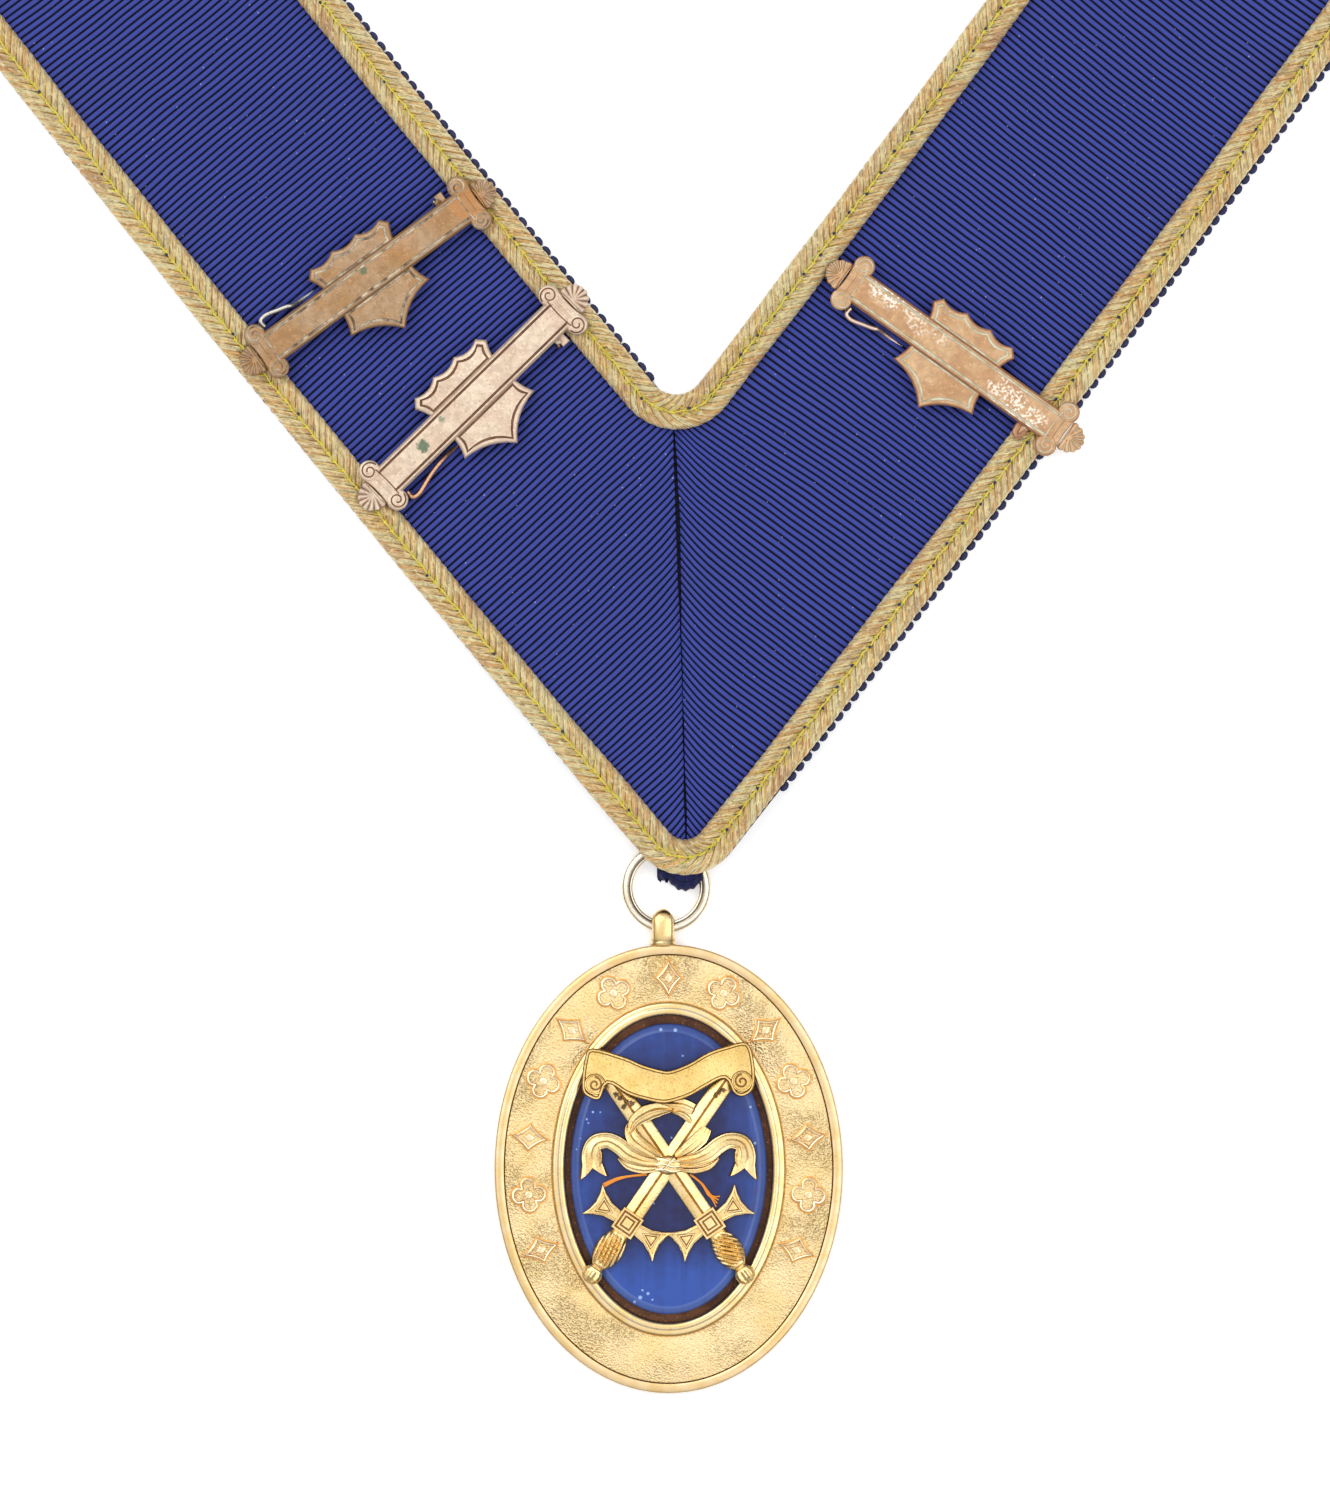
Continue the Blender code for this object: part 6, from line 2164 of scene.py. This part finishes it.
def build_collar(lay: CollarLay) -> None:
    """Builds the ribbons and the laces.

    Args:
        lay: How the collar lies.
    """
    silk = RibbedSilk("ribbed_blue_silk").make()
    # The second colour is the painted shade in the dips between the ribs.
    navy = RibbedSilk("ribbed_navy_silk", paint(22, 25, 62), paint(6, 6, 18), paint(30, 32, 64)).make()
    cord = PlainThread("navy_cord", paint(52, 58, 108), paint(14, 15, 42), 0.7).make()
    backing = BackingRibbon(lay)
    under = backing.dress(navy, cord)
    note(under)
    slants = ((-12, 1.0), (0, 2.4), (45, 2.8), (100, 1.8), (125, 3.0), (150, 0.5), (170, 0.0))
    left = FaceRibbon(lay, Side.LEFT, seam_rise=1.2 * MM, seam_reach=2.2 * MM, seed=1.0, slants=slants)
    note(left.dress(silk))
    slants = (
        (-12, 0.0), (5, -1.5), (17, -0.8), (32, -2.8), (44, -3.2), (58, 0.0), (90, 0.6), (105, 2.0),
        (135, 2.4), (165, 0.0),
    )
    right = FaceRibbon(lay, Side.RIGHT, seam_rise=2.2 * MM, seam_reach=3.4 * MM, seed=5.0, slants=slants)
    note(right.dress(silk))
    metal = MetalThread("gilt_thread").make()
    middle = lay.width / 2 - Lace.width / 2
    stitches, knots = Shape(), Shape()
    for name, outward, radius, apex in (
        ("lace_outer", middle, 6.9 * MM, 1),
        ("lace_inner", -middle, 8.3 * MM, -1),
    ):
        lace = Lace(lay, name, outward, radius, apex)
        band = lace.dress(metal)
        note(band)
        lace.add_sewing(stitches, knots)
    yellow = PlainThread("yellow_thread", paint(238, 216, 84), paint(176, 168, 62), 0.5).make()
    for name, shape, thread, slot in (
        ("groove_stitches", stitches, yellow, "gold_lace"),
        ("sewing_knots", knots, cord, "navy_ribbon"),
    ):
        piece = shape.build(name, [thread], 60)
        note(piece)
    # The second colour is the painted shade in the dips between the ribs.
    gathered = paint(34, 41, 104), paint(6, 6, 20), paint(48, 54, 100)
    tab = RingTab().dress(RibbedSilk("gathered_navy_silk", *gathered).make())
    note(tab)


def build_bars(lay: CollarLay) -> None:
    """Builds the three bars with their pins.

    Args:
        lay: How the collar lies.
    """
    green, orange, pale = paint(78, 104, 78), paint(182, 122, 66), paint(240, 232, 220)
    sooty = (
        Spot((-34.5, -54.5), 4.6, orange, 0.5),
        Spot((-46.0, -62.0), 4.0, orange, 0.15),
        Spot((-53.0, -66.0), 0.9, green, 0.8),
    )
    mossy = Spot((-42.3, -97.4), 1.4, green, 0.9), Spot((-39.0, -92.6), 0.8, green, 0.6)
    places = (
        (39.6, -69.0, 3.2, 0.8), (42.4, -71.0, 3.2, 0.8), (46.5, -74.6, 3.2, 0.5), (50.5, -77.4, 3.0, 0.4),
        (61.0, -87.0, 3.0, 0.7), (64.0, -89.6, 3.0, 0.8), (67.0, -92.2, 3.2, 0.8),
    )
    rubbed = tuple(Spot((x, y), radius, pale, strength, worn=True) for x, y, radius, strength in places)
    # Side, place along and outward, turn, the pin's side, its lug, tone, nudge, dive and curl
    rows = (
        (Side.LEFT, 89.3, -0.3, -2.9, 1, 0.62, BarTone.TAN, (0.5, -0.25, 0.0), 0.4, 0.45),
        (Side.LEFT, 60.9, -1.6, 4.9, -1, 0.62, BarTone.PALE, (0.4, -0.7, 0.0), 0.3, 0.45),
        (Side.RIGHT, 74.2, 5.1, 1.6, -1, 0.575, BarTone.COPPER, (-0.4, -1.2, 0.0), 0.4, 1.0),
    )
    wires = paint(186, 182, 174), paint(196, 150, 116), paint(216, 188, 170)
    for name, row, wire, spots in zip("123", rows, wires, (sooty, mossy, rubbed)):
        side, along, outward, *rest = row
        bar = PinnedBar(lay, name, side, along * MM, outward * MM, *rest)
        face, warm, line, dark, rusty = (paint(*tone) for tone in bar.tone.value)
        metal = GiltMetal(
            "bar_face_" + name, face, warm, dark, 0.44, metallic=0.7, patch=5 * MM, dirt_share=0.3,
            mottle=0.34, spots=spots,
        )
        edge = GiltMetal("bar_edge_" + name, rusty, warm, dark, 0.5, metallic=0.5, patch=2 * MM)
        lines = GiltMetal("bar_lines_" + name, line, dark, dark, 0.6, metallic=0.2, patch=2 * MM)
        steel = GiltMetal("pin_finish_" + name, wire, wire, dark, 0.3, metallic=0.9)
        note(bar.dress([metal.make(), lines.make(), edge.make()]))
        note(bar.dress_pin(steel.make()))


def build_jewel() -> None:
    """Builds the ring and the jewel."""
    finishes = (
        GiltMetal("silver_gilt_wire", *SILVER, 0.2, dirt_share=0.22),
        GiltMetal("ring_step_shade", *RING_STEP_SHADE, 0.3),
        GiltMetal("gilt", *GILT, 0.24, dirt_share=0.25),
        GiltMetal("gilt_line", *GILT_LINE, 0.5),
        GiltMetal("stippled_gilt", *MATT_GILT, 0.38, 0.22 * MM, patch=7 * MM, dirt_share=0.34),
        GiltMetal("gap_shade_gilt", *GAP_SHADE_GILT, 0.5, metallic=0.5),
        GiltMetal("motif_shade", *MOTIF_SHADE, 0.45),
        GiltMetal("motif_highlight", *MOTIF_HIGHLIGHT, 0.22),
        GiltMetal("rim_gilt", *RIM_GILT, 0.34, dirt_share=0.25),
    )
    # stain holds the painted shade round the motifs, ridge the painted highlight on their ridges.
    silver, step, gilt, line, stipple, gap_shade, stain, ridge, rim = (finish.make() for finish in finishes)
    note(HangingRing().dress(silver, step))
    jewel = OvalJewel()
    note(jewel.dress_frame([gilt, line, stipple, gap_shade, stain, ridge, rim]))
    middle = (jewel.centre.x, jewel.centre.y)
    enamel = ClearEnamel("blue_enamel", centre=middle).make()
    # The bevel's paler enamel is a painted reflection of the bright sky on its slope.
    bevel = ClearEnamel("enamel_bevel_painted_reflection", paint(44, 58, 120), paint(72, 98, 166), middle).make()
    note(jewel.dress_plaque(enamel, bevel))
    soot = paint(48, 32, 26)
    places = ((-7.7, -213.7), (-6.9, -214.3), (-5.9, -214.9), (-4.9, -215.3), (-6.3, -215.9))
    places += ((11.5, -212.9), (10.8, -213.2), (10.1, -213.9))
    pits = tuple(Spot(place, 0.75, soot, 0.9) for place in places)
    cast = GiltMetal("cast_gilt", *CAST_GILT, 0.27, 0.02 * MM, dirt_share=0.35, spots=pits).make()
    grime = GiltMetal("emblem_line", *EMBLEM_LINE, 0.4).make()
    # The third finish, on the knot's folds, is a painted highlight.
    note(jewel.dress_emblem([cast, grime, ridge]))
    scroll = GiltMetal("scroll_gilt", *SCROLL_GILT, 0.34, 0.04 * MM).make()
    border = GiltMetal("scroll_rim", *SCROLL_RIM, 0.36).make()
    note(jewel.dress_scroll(scroll, border))
    orange = PlainThread("orange_thread", paint(240, 158, 40), paint(212, 118, 26), 0.5).make()
    note(jewel.dress_strands(orange))
    jewel.dress_back(gap_shade)


def main() -> None:
    """Builds the studio, the collar, the bars and the jewel, in that order."""
    logging.basicConfig(level=logging.INFO, format="%(name)s: %(message)s")
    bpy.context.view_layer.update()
    Studio().build()
    lay = CollarLay()
    build_collar(lay)
    build_bars(lay)
    build_jewel()


if __name__ == "__main__":
    main()
